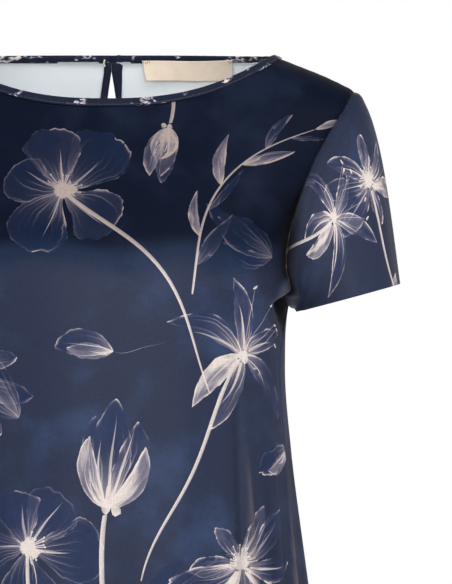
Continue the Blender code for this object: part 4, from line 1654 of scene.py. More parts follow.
@dataclass(frozen=True)
class PrintedSatin(Finish):
    """The right side of the satin: the print over its dyed ground, with painted shade and a painted sheen."""

    name: str = "printed_satin"
    layers: int = 6
    sprays: int = 1
    # Painted shade over the chest: the ground and the print are darkest above the first height and lightest
    # below the second.
    dark_above: float = -148.0
    light_below: float = -194.0
    roughness: float = 0.40
    specular: float = 0.10
    sheen: float = 0.055
    # Painted shade: how far the deepest hollows are darkened.
    painted_shade_strength: float = 0.94
    ridge_light: float = 0.60
    # Painted sheen: the warm grey that the ridges of the folds are lightened towards.
    painted_sheen: tuple[float, float, float] = (0.125, 0.100, 0.105)
    # The ground's colour where the painted shade over the chest is deepest.
    dark: tuple[float, float, float] = (0.0022, 0.0050, 0.0148)

    def inputs(self, graph: Graph) -> dict[str, object]:
        """The print over the ground, painted shade in the hollows and a painted sheen on the ridges, under
        the weave.

        Args:
            graph: The material's graph.

        Returns:
            The shader's inputs by name.
        """
        place = graph.attribute("cloth")
        heights = {"High": self.dark_above, "Low": self.light_below}
        shaded_ground = graph.use(Effects.get("shaded_cloudy_ground"), Place=place, Dark=self.dark, **heights)
        mark, inside = printed(graph, self.layers, self.sprays)
        tones = {"Ground": shaded_ground["Color"], "Lower": shaded_ground["Lower"], "Mark": mark, "Inside": inside}
        colour = graph.use(Effects.get("print_tones"), **tones)["Color"]
        weave = graph.use(Effects.get("satin_weave"), Place=place)
        _, _, painted_shading = graph.parts(place)
        # Painted shade and sheen: the cloth's third number darkens where it is positive and is a painted
        # highlight where it is negative.
        light = (weave["Shade"] * 0.5 + 0.72) * (1.0 - graph.math("MAXIMUM", painted_shading, 0.0) * self.painted_shade_strength)
        ridge = graph.math("MAXIMUM", painted_shading * -1.0, 0.0) * (0.1 + shaded_ground["Lower"] * 0.9)
        with_painted_sheen = graph.blend(ridge * self.ridge_light, colour, self.painted_sheen)
        return {
            "Base Color": graph.blend(1.0 - light, with_painted_sheen, BLACK),
            "Roughness": weave["Shade"] * 0.10 + (self.roughness - 0.05),
            "Normal": graph.bump(weave["Height"], 0.04 * MM, 0.5),
            "Specular IOR Level": self.specular,
            "Sheen Weight": self.sheen,
            "Sheen Roughness": 0.4,
            "Sheen Tint": (1.0, 0.86, 0.78, 1.0),
        }


@dataclass(frozen=True)
class BindingSatin(Finish):
    """The same satin cut into narrow bias strips, on which only scraps of the print show."""

    name: str = "binding_satin"
    scraps: float = 1.0
    roughness: float = 0.42

    def inputs(self, graph: Graph) -> dict[str, object]:
        """Scraps of print, a fine noise cut off by a broad one, over the dark ground, under the weave.

        Args:
            graph: The material's graph.

        Returns:
            The shader's inputs by name.
        """
        place = graph.attribute("cloth")
        along, across, _ = graph.parts(place)
        wide = graph.noise(graph.join(along * 0.040, across * 0.07, 3.0), 1.0, 2)
        ragged = graph.noise(graph.join(along * 0.20, across * 0.30, 9.0), 1.0, 3, 0.6)
        inside = graph.remap(wide, 0.54, 0.60) * self.scraps
        mark = inside * graph.remap(ragged, 0.42, 0.62)
        ground = graph.blend(ragged * 0.6, (0.0075, 0.0105, 0.0250), (0.0150, 0.0200, 0.0420))
        colour = graph.use(Effects.get("print_tones"), Ground=ground, Mark=mark, Inside=inside)["Color"]
        weave = graph.use(Effects.get("satin_weave"), Place=place)
        return {
            "Base Color": graph.blend(weave["Shade"] * 0.12, colour, BLACK),
            "Roughness": weave["Shade"] * 0.10 + (self.roughness - 0.05),
            "Normal": graph.bump(weave["Height"], 0.04 * MM, 0.5),
            "Specular IOR Level": 0.12,
            "Sheen Weight": 0.05,
        }


@dataclass(frozen=True)
class WrongSide(Finish):
    """The satin's unprinted side, pale blue, with the print showing through faintly."""

    name: str = "satin_wrong_side"
    layers: int = 6
    colour: tuple[float, float, float] = (0.69, 0.725, 0.745)
    # Painted light: the wrong side is blended towards this paler colour between these two places across.
    pale: tuple[float, float, float] = (0.90, 0.93, 0.945)
    painted_light_across: tuple[float, float] = (20.0, -115.0)
    through: tuple[float, float, float] = (0.97, 0.97, 0.96)
    roughness: float = 0.62

    def inputs(self, graph: Graph) -> dict[str, object]:
        """A pale cloth with painted light, paler towards one side, with the print showing through, under the
        weave.

        Args:
            graph: The material's graph.

        Returns:
            The shader's inputs by name.
        """
        place = graph.attribute("cloth")
        mark, _ = printed(graph, self.layers, 0)
        weave = graph.use(Effects.get("satin_weave"), Place=place)
        across, _, _ = graph.parts(place)
        broad = graph.remap(graph.noise(place, 0.02, 2), 0.35, 0.7) * 0.35
        # Painted light: paler towards one side of the inside.
        base = graph.blend(graph.remap(across, *self.painted_light_across), self.colour, self.pale)
        base = graph.blend(broad, base, (0.70, 0.76, 0.80))
        shown = graph.blend(mark * 0.45, base, self.through)
        return {
            "Base Color": graph.blend(weave["Shade"] * 0.10, shown, (0.40, 0.44, 0.50)),
            "Roughness": weave["Shade"] * 0.12 + (self.roughness - 0.06),
            "Normal": graph.bump(weave["Height"], 0.05 * MM, 0.5),
            "Sheen Weight": 0.1,
        }


@dataclass(frozen=True)
class LabelTape(Finish):
    """Fine cream ribbon, woven with a close rib."""

    name: str = "label_tape"
    colour: tuple[float, float, float] = (0.81, 0.675, 0.535)

    def inputs(self, graph: Graph) -> dict[str, object]:
        """Noise drawn out along the ribs, four of them to a millimetre, over soft blotches.

        Args:
            graph: The material's graph.

        Returns:
            The shader's inputs by name.
        """
        across, up, _ = graph.parts(graph.attribute("cloth"))
        rib = graph.noise(graph.join(across * 0.5, up * 4.0, 2.0), 1.0, 2)
        blotch = graph.noise(graph.join(across, up, 5.0), 0.12, 3)
        base = graph.blend(graph.remap(blotch, 0.3, 0.75) * 0.5, self.colour, (0.71, 0.58, 0.47))
        return {
            "Base Color": graph.blend(rib * 0.16, base, (0.47, 0.38, 0.31)),
            "Roughness": rib * 0.12 + 0.48,
            "Normal": graph.bump(rib, 0.06 * MM, 0.6),
            "Sheen Weight": 0.15,
        }


@dataclass(frozen=True)
class SewingThread(Finish):
    """Twisted sewing thread."""

    name: str
    colour: tuple[float, float, float]
    light: tuple[float, float, float]

    def inputs(self, graph: Graph) -> dict[str, object]:
        """Fibres lighter and darker, as a fine noise.

        Args:
            graph: The material's graph.

        Returns:
            The shader's inputs by name.
        """
        strands = graph.noise(graph.object_place(), 2600.0, 2)
        return {
            "Base Color": graph.blend(graph.remap(strands, 0.35, 0.7), self.colour, self.light),
            "Roughness": strands * 0.2 + 0.5,
            "Normal": graph.bump(strands, 0.08 * MM, 0.6),
            "Sheen Weight": 0.2,
        }


@dataclass(frozen=True)
class ButtonPlastic(Finish):
    """Dark polished plastic with a faint marbling and fine scuffs."""

    name: str = "button_plastic"

    def inputs(self, graph: Graph) -> dict[str, object]:
        """A broad noise as marbling, and a fine one as scuffs in the polish.

        Args:
            graph: The material's graph.

        Returns:
            The shader's inputs by name.
        """
        place = graph.object_place()
        marble = graph.remap(graph.noise(place, 320.0, 4, 0.6), 0.35, 0.7)
        scuffs = graph.noise(place, 2400.0, 3, 0.6)
        return {
            "Base Color": graph.blend(marble, (0.010, 0.014, 0.030), (0.030, 0.038, 0.066)),
            "Roughness": graph.remap(scuffs, 0.4, 0.8, 0.20, 0.42),
            "Normal": graph.bump(scuffs, 0.02 * MM, 0.3),
            "Coat Weight": 0.3,
        }


@dataclass(frozen=True)
class FloorPaper(Finish):
    """Matt white paper."""

    name: str = "floor_paper"

    def inputs(self, graph: Graph) -> dict[str, object]:
        """A faint grain.

        Args:
            graph: The material's graph.

        Returns:
            The shader's inputs by name.
        """
        grain = graph.noise(graph.object_place(), 60.0, 3)
        colour = graph.blend(grain * 0.1, (0.86, 0.86, 0.86), (0.80, 0.80, 0.80))
        return {"Base Color": colour, "Roughness": 0.9}


# ---- The layouts of the print: kind, across, up, turn, size, seed (millimetres and degrees) ----

FRONT_PRINT = (
    (Motif.WILD_ROSE, -34, -112, 20, 1.0, 3), (Motif.LILY, 120, -250, -34, 1.0, 5),
    (Motif.TULIP, 2, -372, -12, 1.0, 7), (Motif.SPRIG, 72, -200, -8, 1.0, 11),
    (Motif.BUD, 52, -54, 165, 1.0, 13), (Motif.COSMOS, 118, -420, 24, 1.05, 17),
    (Motif.WILD_ROSE, 196, -500, 30, 0.95, 19), (Motif.SPRIG, -150, -150, 10, 1.0, 23),
    (Motif.COSMOS, -118, -268, -25, 1.0, 29), (Motif.LILY, -170, -420, 12, 1.0, 31),
    (Motif.BUD, -130, -66, 150, 1.0, 37), (Motif.TULIP, -86, -560, 14, 0.95, 41),
    (Motif.WILD_ROSE, 56, -560, 6, 1.0, 43), (Motif.PETAL, 8, -246, 75, 0.85, 59),
    (Motif.PETAL, 186, -330, 100, 0.9, 61), (Motif.WILD_ROSE, -62, -404, -30, 0.95, 239),
    (Motif.GHOST, -70, -300, 30, 1.0, 197), (Motif.GHOST, 34, -470, -50, 1.0, 199),
    (Motif.GHOST, 150, -170, 60, 0.8, 211), (Motif.GHOST, -180, -260, -20, 1.0, 223),
)
BACK_PRINT = (
    (Motif.TULIP, -70, -200, -14, 1.0, 67), (Motif.WILD_ROSE, 82, -170, 25, 1.0, 71),
    (Motif.COSMOS, -150, -330, 10, 1.05, 73), (Motif.SPRIG, 20, -380, -18, 1.0, 79),
    (Motif.BUD, 150, -80, 160, 1.0, 83), (Motif.LILY, -60, -450, 12, 1.0, 89),
    (Motif.COSMOS, 130, -390, -20, 1.0, 97), (Motif.WILD_ROSE, 30, -560, -15, 1.0, 101),
    (Motif.TULIP, 200, -540, 16, 0.95, 103), (Motif.BUD, -190, -180, 8, 1.0, 107),
    (Motif.SPRIG, -190, -600, 20, 1.0, 109), (Motif.PETAL, 60, -60, 50, 0.85, 113),
    (Motif.PETAL, -120, -70, -40, 0.85, 127), (Motif.GHOST, 40, -280, 20, 1.0, 131),
    (Motif.GHOST, -140, -520, -30, 1.0, 227),
)
RIGHT_SLEEVE_PRINT = (
    (Motif.COSMOS, 46, 88, -16, 1.0, 137), (Motif.SPRIG, -46, 6, 18, 0.9, 139),
    (Motif.BUD, -4, 132, 164, 0.9, 149), (Motif.WILD_ROSE, -116, 60, 25, 0.85, 151),
    (Motif.LILY, 98, 66, 74, 0.85, 229), (Motif.PETAL, 22, 10, -160, 0.7, 157),
)
LEFT_SLEEVE_PRINT = (
    (Motif.TULIP, 46, 70, 170, 0.9, 167), (Motif.COSMOS, -50, 60, 20, 0.9, 173),
    (Motif.SPRIG, -130, 10, -12, 0.9, 179), (Motif.LILY, 110, 60, 12, 0.8, 181),
    (Motif.PETAL, 0, 40, 30, 0.8, 191),
)


# ---- The pieces ----

# How far up a turned-up hem its rows lie, as shares of its height.
HEM_ROWS = (0.08, 0.33, 0.66, 1.0)


def finish_piece(piece: Piece, node: str, materials: tuple[Material, ...]) -> None:
    """Gives a piece its materials and its body, and hides the CAD node that it stands for.

    Args:
        piece: The piece.
        node: The CAD node.
        materials: Its finishes.
    """
    for material in materials:
        piece.data.materials.append(material)
    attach(piece, "root")
    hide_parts(node)
    LOG.info("%s: %d faces", piece.name, len(piece.data.polygons))


def printed_shell(
    cloth: Cloth, name: str, node: str, layout: Layout, finishes: tuple[Material, ...]
) -> Piece:
    """A shell of cloth with its print. Its inner faces, which follow the outer ones, take the second finish.

    Args:
        cloth: The cloth.
        name: The piece's name.
        node: The CAD node.
        layout: The print.
        finishes: The right side's and the wrong side's.

    Returns:
        The piece.
    """
    piece = cloth.shell(name)
    crowded = Printing().put(piece, cloth, artwork(layout))
    index = np.zeros(len(piece.data.polygons), np.int32)
    index[len(cloth.quads) : 2 * len(cloth.quads)] = 1
    piece.data.polygons.foreach_set("material_index", index)
    finish_piece(piece, node, finishes)
    LOG.info("%s: %d strokes were crowded out somewhere", name, crowded)
    return piece


@dataclass
class BodyPanel:
    """The front or back: two halves joined down the middle, with seams that sink in and a turned-up hem."""

    panel: Panel
    layout: Layout
    neck_columns: int = 56
    shoulder_columns: int = 18
    side_rows: int = 128
    armhole_rows: int = 96
    keyhole_steps: int = 32
    neck_inset: float = 5.0 * MM
    keyhole_inset: float = 4.2 * MM
    centre_at_underarm_row: float = -325 * MM
    underarm_row_share: float = 12 / 26
    top_bend_power: float = 4
    seam_sink: float = 0.8 * MM
    seam_reach: float = 2.2 * MM
    arm_shade: float = 0.75
    arm_shade_reach: float = 30 * MM
    arm_shade_top: float = -130 * MM
    seam_shade: float = 0.95
    seam_shade_reach: float = 6 * MM
    seam_shade_top: float = -135 * MM
    shade_fades: float = 30 * MM
    side_pucker: float = 0.16 * MM
    side_waves: tuple[float, float] = (1.9 * MM, 31 * MM)
    top_pucker: float = 0.14 * MM
    top_waves: tuple[float, float] = (1.7 * MM, 23 * MM)
    allowance: float = 2.4 * MM
    neck_allowance: float = 0.25 * MM
    hem_turn: float = 18 * MM
    hem_gap: float = 1.3 * MM
    flat: tuple[float, float] = (0.50, 0.64)
    area: float = 0.26

    def centre_heights(self, top: float, rows: int) -> Array:
        """Heights up the panel's centre line, with the row that ends at the underarm well below it.

        Args:
            top: The highest.
            rows: How many steps up.

        Returns:
            Rows + 1 heights.
        """
        below = np.linspace(BODY.hem_height, self.centre_at_underarm_row, self.side_rows + 1)
        above = np.linspace(self.centre_at_underarm_row, top, rows - self.side_rows + 1)
        return np.concatenate([below[:-1], above])

    def edges(self) -> tuple[Array, Array, Array, Array]:
        """The half panel's edges: the neckline and the shoulder, the armhole and the side seam, and the
        centre line, in the back with the keyhole at its top.

        Returns:
            The bottom, top, centre and side as (turn, height) pairs.
        """
        front = self.panel is Panel.FRONT
        rows = self.side_rows + self.armhole_rows
        angles = np.linspace(math.pi, 0, self.armhole_rows + 1) * (1 if front else -1)
        armhole = BODY.armhole_line(angles)
        seam = BODY.side_line(np.linspace(BODY.hem_height, BODY.underarm_height, self.side_rows + 1))
        side = np.concatenate([seam[:-1], armhole])
        if front:
            neck = BODY.neck_line(np.linspace(0, 1, self.neck_columns + 1), self.neck_inset, self.panel)
            centre = pairs(0.0, self.centre_heights(neck[0, 1], rows))
        else:
            start = math.asin((BODY.keyhole_top_half_gap + self.keyhole_inset) / BODY.neck_half_width)
            shares = np.linspace(start / (math.pi / 2), 1, self.neck_columns + 1)
            neck = BODY.neck_line(shares, self.neck_inset, self.panel)
            path = BODY.keyhole_path(self.keyhole_steps, self.keyhole_inset)
            low = self.centre_heights(path[0, 1], rows - self.keyhole_steps)[:-1]
            path[-1, 1] = neck[0, 1]
            edge = pairs(BODY.turn_at_width(path[:, 0], path[:, 1], self.panel), path[:, 1])
            edge[-1] = neck[0]
            centre = np.concatenate([pairs(math.pi, low), edge])
        height = np.linspace(neck[-1, 1], armhole[-1, 1], self.shoulder_columns + 1)
        shoulder = pairs(BODY.turn_at_depth(0 * height, height), height)
        shoulder[-1] = armhole[-1]
        top = np.concatenate([neck, shoulder[1:]])
        bottom = pairs(np.linspace(centre[0, 0], side[0, 0], len(top)), BODY.hem_height)
        return bottom, top, centre, side

    def grid(self) -> Array:
        """The half panel's grid: straight between centre and side, plus the bottom edge's bend, which dies
        out upwards, and the top edge's, which soon dies out downwards.

        Returns:
            (turn, height) pairs, rows by columns.
        """
        bottom, top, centre, side = self.edges()
        u = np.linspace(0, 1, len(bottom))[None, :, None]
        rows = np.arange(len(centre))
        v = np.interp(rows, (0, self.side_rows, rows[-1]), (0, self.underarm_row_share, 1))[:, None, None]
        between = (1 - u) * centre[:, None] + u * side[:, None]
        bottom_bend = bottom - ((1 - u[0]) * bottom[0] + u[0] * bottom[-1])
        top_bend = top - ((1 - u[0]) * top[0] + u[0] * top[-1])
        return between + (1 - v) * bottom_bend[None] + v**self.top_bend_power * top_bend[None]

    def half(self, side: Side) -> Cloth:
        """One half as cloth: the form's surface, sunk and puckered along its seams, with an allowance turned
        in behind each seam and the hem turned up inside.

        Args:
            side: Which half.

        Returns:
            The half.
        """
        grid = self.grid()
        turn, height = side.value * grid[..., 0], grid[..., 1]
        points, lean = BODY.surface(turn, height), BODY.normal(turn, height)
        to_side = run_length(points[:, ::-1], 1)[:, ::-1]
        points = points + lean * self.seam_relief(points, to_side)[..., None]
        normals = grid_normals(points)
        lean = normals * np.sign((normals * lean).sum(-1, keepdims=True))
        shade = np.clip(BODY.shade(turn, height) + self.armhole_shade(height, to_side), -1, 1)
        place = np.concatenate([BODY.cloth_place(turn, height, self.panel), shade[..., None]], axis=-1)
        points, lean, place = self.turned_in(points, lean, place)
        return Cloth.of_grid(*self.turned_up(turn, points, lean, place))

    def seam_relief(self, points: Array, to_side: Array) -> Array:
        """How the seams shape the cloth: each sinks as a bell of the distance from it, and beside it the
        cloth puckers, a sine whose own pace wavers.

        Args:
            points: The half's grid of points.
            to_side: Their distances from its side edge.

        Returns:
            Distances along the normal, in metres.
        """
        to_top = run_length(points[::-1], 0)[::-1]
        down = run_length(points[:, -1], 0)[:, None]
        along = run_length(points[-1], 0)[None, :]
        sink = np.maximum(bell(to_side / self.seam_reach), bell(to_top / self.seam_reach))
        side = self.side_pucker * puckers(down, *self.side_waves) * bell((to_side - 3 * MM) / (5 * MM))
        top = self.top_pucker * puckers(along, *self.top_waves) * bell((to_top - 4 * MM) / (4 * MM))
        return side + top - self.seam_sink * sink

    def armhole_shade(self, height: Array, to_side: Array) -> Array:
        """The shade beside the armhole, a wide bell of the distance from it and a narrow one, each with a
        height above which it fades.

        Args:
            height: Heights.
            to_side: Distances from the side edge.

        Returns:
            What is added to the folds' shade.
        """
        wide, wide_top = self.arm_shade * bell(to_side / self.arm_shade_reach), self.arm_shade_top
        narrow, narrow_top = self.seam_shade * bell(to_side / self.seam_shade_reach), self.seam_shade_top
        wide = wide * (1 - smooth_step((height - wide_top) / self.shade_fades))
        narrow = narrow * (1 - 0.7 * smooth_step((height - narrow_top) / self.shade_fades))
        return (wide + narrow) * smooth_step((height - BODY.underarm_height) / (6 * MM))

    def turned_in(self, points: Array, lean: Array, place: Array) -> tuple[Array, ...]:
        """Adds the seam allowances: two more columns behind the side, and two more rows behind the top, where
        the neck's own are shallow, because its binding holds them.

        Args:
            points: The points.
            lean: Their outward directions.
            place: Their places on the cloth.

        Returns:
            All three with the added rows and columns.
        """
        for share in (0.4, 1.0):
            side_in = points[:, -1:] - lean[:, -1:] * self.allowance * share
            points = np.concatenate([points, side_in], axis=1)
            lean = np.concatenate([lean, lean[:, -1:]], axis=1)
            place = np.concatenate([place, place[:, -1:] + np.array([0.5, 0, 0])], axis=1)
        at_neck = np.arange(points.shape[1]) < self.neck_columns
        deep = np.where(at_neck, self.neck_allowance, self.allowance)[None, :, None]
        for share in (0.3, 0.85):
            points = np.concatenate([points, points[-1:] - lean[-1:] * deep * share])
            lean = np.concatenate([lean, lean[-1:]])
            place = np.concatenate([place, place[-1:] + np.array([0, 0.5, 0])])
        return points, lean, place

    def turned_up(self, turn: Array, points: Array, lean: Array, place: Array) -> tuple[Array, ...]:
        """Puts rows before the first that go round the hem's edge and up inside, a little clear of the cloth.

        Args:
            turn: The grid's turns.
            points: The points.
            lean: Their outward directions.
            place: Their places on the cloth.

        Returns:
            All three with the added rows.
        """
        wide = points.shape[1]
        turns = np.concatenate([turn[0], np.repeat(turn[0, -1:], wide - turn.shape[1])])
        hem = BODY.hem_height + 0 * turns
        apart = points[0] - BODY.surface(turns, hem)
        rows, leans, places = [], [], []
        for up in HEM_ROWS[::-1]:
            high = hem + self.hem_turn * up
            out = BODY.normal(turns, high)
            rows.append(BODY.surface(turns, high) + apart - out * self.hem_gap)
            leans.append(-out)
            places.append(place[0] - np.array([0, self.hem_turn * up / MM, 0]))
        rows.append(points[0] - BODY.normal(turns, hem) * self.hem_gap / 2 - [0, 0, 0.5 * MM])
        leans.append(np.broadcast_to([0.0, 0.0, -1.0], points[0].shape))
        places.append(place[0] - np.array([0, 0.6, 0]))
        both = ((rows, points), (leans, lean), (places, place))
        return tuple(np.concatenate([np.stack(new), old]) for new, old in both)

    def build(self, satin: Material, wrong: Material) -> Piece:
        """Builds the panel and prints it.

        Args:
            satin: The right side's finish.
            wrong: The wrong side's finish.

        Returns:
            The panel.
        """
        right, left = (self.half(side) for side in Side)
        names = ("points", "lean", "place")
        joined = (np.concatenate([getattr(half, name) for half in (right, left)]) for name in names)
        whole = Cloth(*joined, np.concatenate([right.quads, left.quads + len(right.points)])).joined()
        name = self.panel.value
        piece = printed_shell(whole, f"{name}_panel", name, self.layout, (satin, wrong))
        return piece


@dataclass
class Sleeve:
    """One short sleeve, set into the armhole, with its hem turned up."""

    side: Side
    layout: Layout
    ring: int = 160
    rows: int = 58
    rows_power: float = 1.05
    seam_sink: float = 0.8 * MM
    seam_reach: float = 2.2 * MM
    seam_follow: float = 13 * MM
    roll_out: float = 0.7 * MM
    roll_at: float = 7 * MM
    roll_reach: float = 5 * MM
    pucker_out: float = 0.16 * MM
    allowances: tuple[float, float] = (2.4 * MM, 1.0 * MM)
    under_sink: float = 0.7 * MM
    girth_radius: float = 62 * MM
    hem_turn: float = 16 * MM
    hem_gap: float = 1.3 * MM
    shade: float = 1.0
    shade_reach: float = 10 * MM
    flat: tuple[float, float] = (0.40, 0.18)
    area: float = 0.042

    def build(self, satin: Material, wrong: Material) -> Piece:
        """Builds the sleeve and prints it.

        Args:
            satin: The right side's finish.
            wrong: The wrong side's finish.

        Returns:
            The sleeve.
        """
        form = SleeveForm(BODY, self.side)
        angle = even_turns(self.ring)[None, :]
        down = (np.linspace(0, 1, self.rows + 1) ** self.rows_power)[:, None]
        angle, down = np.broadcast_arrays(angle, down)
        points = form.plain(angle, down)
        lean = self.side.value * grid_normals(points, ring=True)
        points = points + lean * form.crease_out(angle, down)[..., None]
        points = self.seamed(points, lean, angle)
        lean = self.side.value * grid_normals(points, ring=True)
        cloth = Cloth.of_grid(*self.hemmed(points, lean, self.places(points, angle)), ring=True)
        name = f"sleeve_{self.side.name.lower()}"
        piece = printed_shell(cloth, f"{name}_cloth", name, self.layout, (satin, wrong))
        return piece

    def seamed(self, points: Array, lean: Array, angle: Array) -> Array:
        """Draws the armhole edge onto the body's own creased and sunk seam line, lifts a soft roll with small
        puckers just beyond it, and sinks the underarm seam: each a bell of the distance from its seam.

        Args:
            points: The sleeve's points.
            lean: Their outward directions.
            angle: Their angles round the armhole.

        Returns:
            The moved points.
        """
        turn, height = split(BODY.armhole_line(angle[0]))
        turn = self.side.value * turn
        drawn = BODY.surface(turn, height) - points[0]
        sunk = -BODY.normal(turn, height) * self.seam_sink
        away = run_length(points, 0)
        reach = away[..., None]
        pull = bell(reach / self.seam_follow) * drawn + bell(reach / self.seam_reach) * sunk
        roll = self.roll_out * bell((away - self.roll_at) / self.roll_reach) * smooth_step(away / (4 * MM))
        along = run_length(points[0], 0)[None, :]
        pucker = self.pucker_out * np.sin(along / (1.8 * MM)) * bell((away - 5 * MM) / (4 * MM))
        from_under = np.abs((angle - math.pi) * self.girth_radius)
        under = -self.under_sink * bell(from_under / (2 * MM)) * smooth_step(away / (6 * MM))
        return points + pull + lean * (roll + pucker + under)[..., None]

    def places(self, points: Array, angle: Array) -> Array:
        """Where the points lie on the flat sleeve, in millimetres: across from its top line, positive in
        front, and up from the hem. The third number is their shade, a bell of the distance from the armhole,
        strongest at its foot.

        Args:
            points: The sleeve's points.
            angle: Their angles round the armhole.

        Returns:
            (across, up, shade) for each point.
        """
        ring = run_length(np.concatenate([points, points[:, :1]], axis=1), 1)
        across = np.where(np.arange(self.ring) <= self.ring // 2, ring[:, :-1], ring[:, :-1] - ring[:, -1:])
        up = run_length(points, 0)
        low = 0.25 + 0.75 * smooth_step(((1 - np.cos(angle)) / 2 - 0.5) / 0.22)
        shade = self.shade * low * bell(up / self.shade_reach)
        return np.stack([across / MM, (up[-1:] - up) / MM, shade], axis=-1)

    def hemmed(self, points: Array, lean: Array, place: Array) -> tuple[Array, ...]:
        """Adds the allowance behind the armhole seam before the first row, and after the last the rows that
        go round the hem's edge and up inside.

        Args:
            points: The points.
            lean: Their outward directions.
            place: Their places on the cloth.

        Returns:
            All three with the added rows.
        """
        before = [points[0] - lean[0] * depth for depth in self.allowances]
        fall = unit(points[-1] - points[-2])
        after = [points[-1] - lean[-1] * self.hem_gap / 2 + fall * 0.5 * MM]
        leans, places = [fall], [place[-1]]
        away = run_length(points, 0)
        away = away[-1:] - away
        for up in HEM_ROWS:
            row = np.abs(away - self.hem_turn * up).argmin(axis=0)
            pick = np.arange(self.ring)
            after.append(points[row, pick] - lean[row, pick] * self.hem_gap)
            leans.append(-lean[row, pick])
            places.append(place[-1] - np.array([0, self.hem_turn * up / MM, 0]))
        return (
            np.concatenate([before, points, after]),
            np.concatenate([[lean[0], lean[0]], lean, leans]),
            np.concatenate([[place[0], place[0]], place, places]),
        )


@dataclass
class BoundEdge:
    """A bias strip folded over a raw edge, its own long edges tucked in between it and the panel."""

    name: str
    node: str
    width: float
    steps: int
    flat: tuple[float, float]
    outer_reach: float = 1.25 * MM
    inner_reach: float = 1.75 * MM
    cloth_middle: float = -0.3 * MM
    section_points: int = 19
    section_powers: tuple[float, float] = (0.85, 0.62)
    open_angle: float = 0.16
    tuck: float = 2.0 * MM
    thickness: float = 0.42 * MM
    ripple: float = 0.09
    ripple_waves: tuple[float, float, float] = (1.5 * MM, 17 * MM, 2.4)
    pinch: float = 0.5
    pinch_reach: float = 2.5 * MM

    def section(self) -> Array:
        """The folded strip's section. From one tucked edge a superellipse, a power of a cosine across and of
        a sine out, goes over the fold to the other.

        Returns:
            (share of the width, offset) pairs.
        """
        angle = np.linspace(-1, 1, self.section_points) * (math.pi - self.open_angle)
        flat, round_it = self.section_powers
        across = np.sign(np.cos(angle)) * np.abs(np.cos(angle)) ** flat
        out = np.sign(np.sin(angle)) * np.abs(np.sin(angle)) ** round_it
        reach = np.where(out > 0, self.outer_reach, self.inner_reach)
        folded = np.stack([(1 - across) / 2, out * reach], axis=-1)
        inside = np.array([[1 - self.tuck / self.width, -1.15 * MM], [0.97, -0.95 * MM]])
        outside = np.array([[0.97, 0.35 * MM], [1 - self.tuck / self.width, 0.55 * MM]])
        return np.concatenate([inside, folded, outside])

    def line(self, share: float) -> Array:
        """The form's (turn, height) pairs along the strip, this share of its width in from the edge."""
        raise NotImplementedError

    def build(self, satin: Material) -> Piece:
        """Carries the section along the edge, with a fine ripple, and pinches it flat at both ends.

        Args:
            satin: The strip's finish.

        Returns:
            The binding.
        """
        section = self.section()
        lines = [self.line(share) for share in section[:, 0]]
        middle = np.stack([BODY.plain(*split(line)) for line in lines], axis=1)
        normal = np.stack([BODY.normal(*split(line)) for line in lines], axis=1)
        along = run_length(middle, 0).mean(axis=1, keepdims=True)
        ripple = 1 + self.ripple * puckers(along, *self.ripple_waves)
        to_end = np.minimum(along, along[-1] - along)
        ripple = ripple * (self.pinch + (1 - self.pinch) * smooth_step(to_end / self.pinch_reach))
        offset = self.cloth_middle + (section[None, :, 1] - self.cloth_middle) * ripple
        points = middle + normal * offset[..., None]
        lean = grid_normals(points)
        crown = len(section) * 3 // 4
        lean = lean * np.sign((lean[:, crown] * normal[:, crown]).sum())
        round_it = run_length(points, 1)
        place = np.stack(np.broadcast_arrays(along, round_it), axis=-1) / MM
        piece = replace(Cloth.of_grid(points, lean, place), thickness=self.thickness).shell(self.name)
        finish_piece(piece, self.node, (satin,))
        return piece

    def stitches(self, share: float, thread: Material) -> Piece:
        """The row of machine stitches that holds the strip down, on its outer face.

        Args:
            share: How far in from the edge it runs, as a share of the width.
            thread: The thread's finish.

        Returns:
            The row.
        """
        turn, height = split(self.line(share))
        section = self.section()
        outer = section[section[:, 1] > 0]
        lift = np.interp(share, outer[:-2, 0], outer[:-2, 1])
        path = BODY.plain(turn, height) + BODY.normal(turn, height) * lift
        return Sewing().row(f"{self.name}_stitches", path, thread)


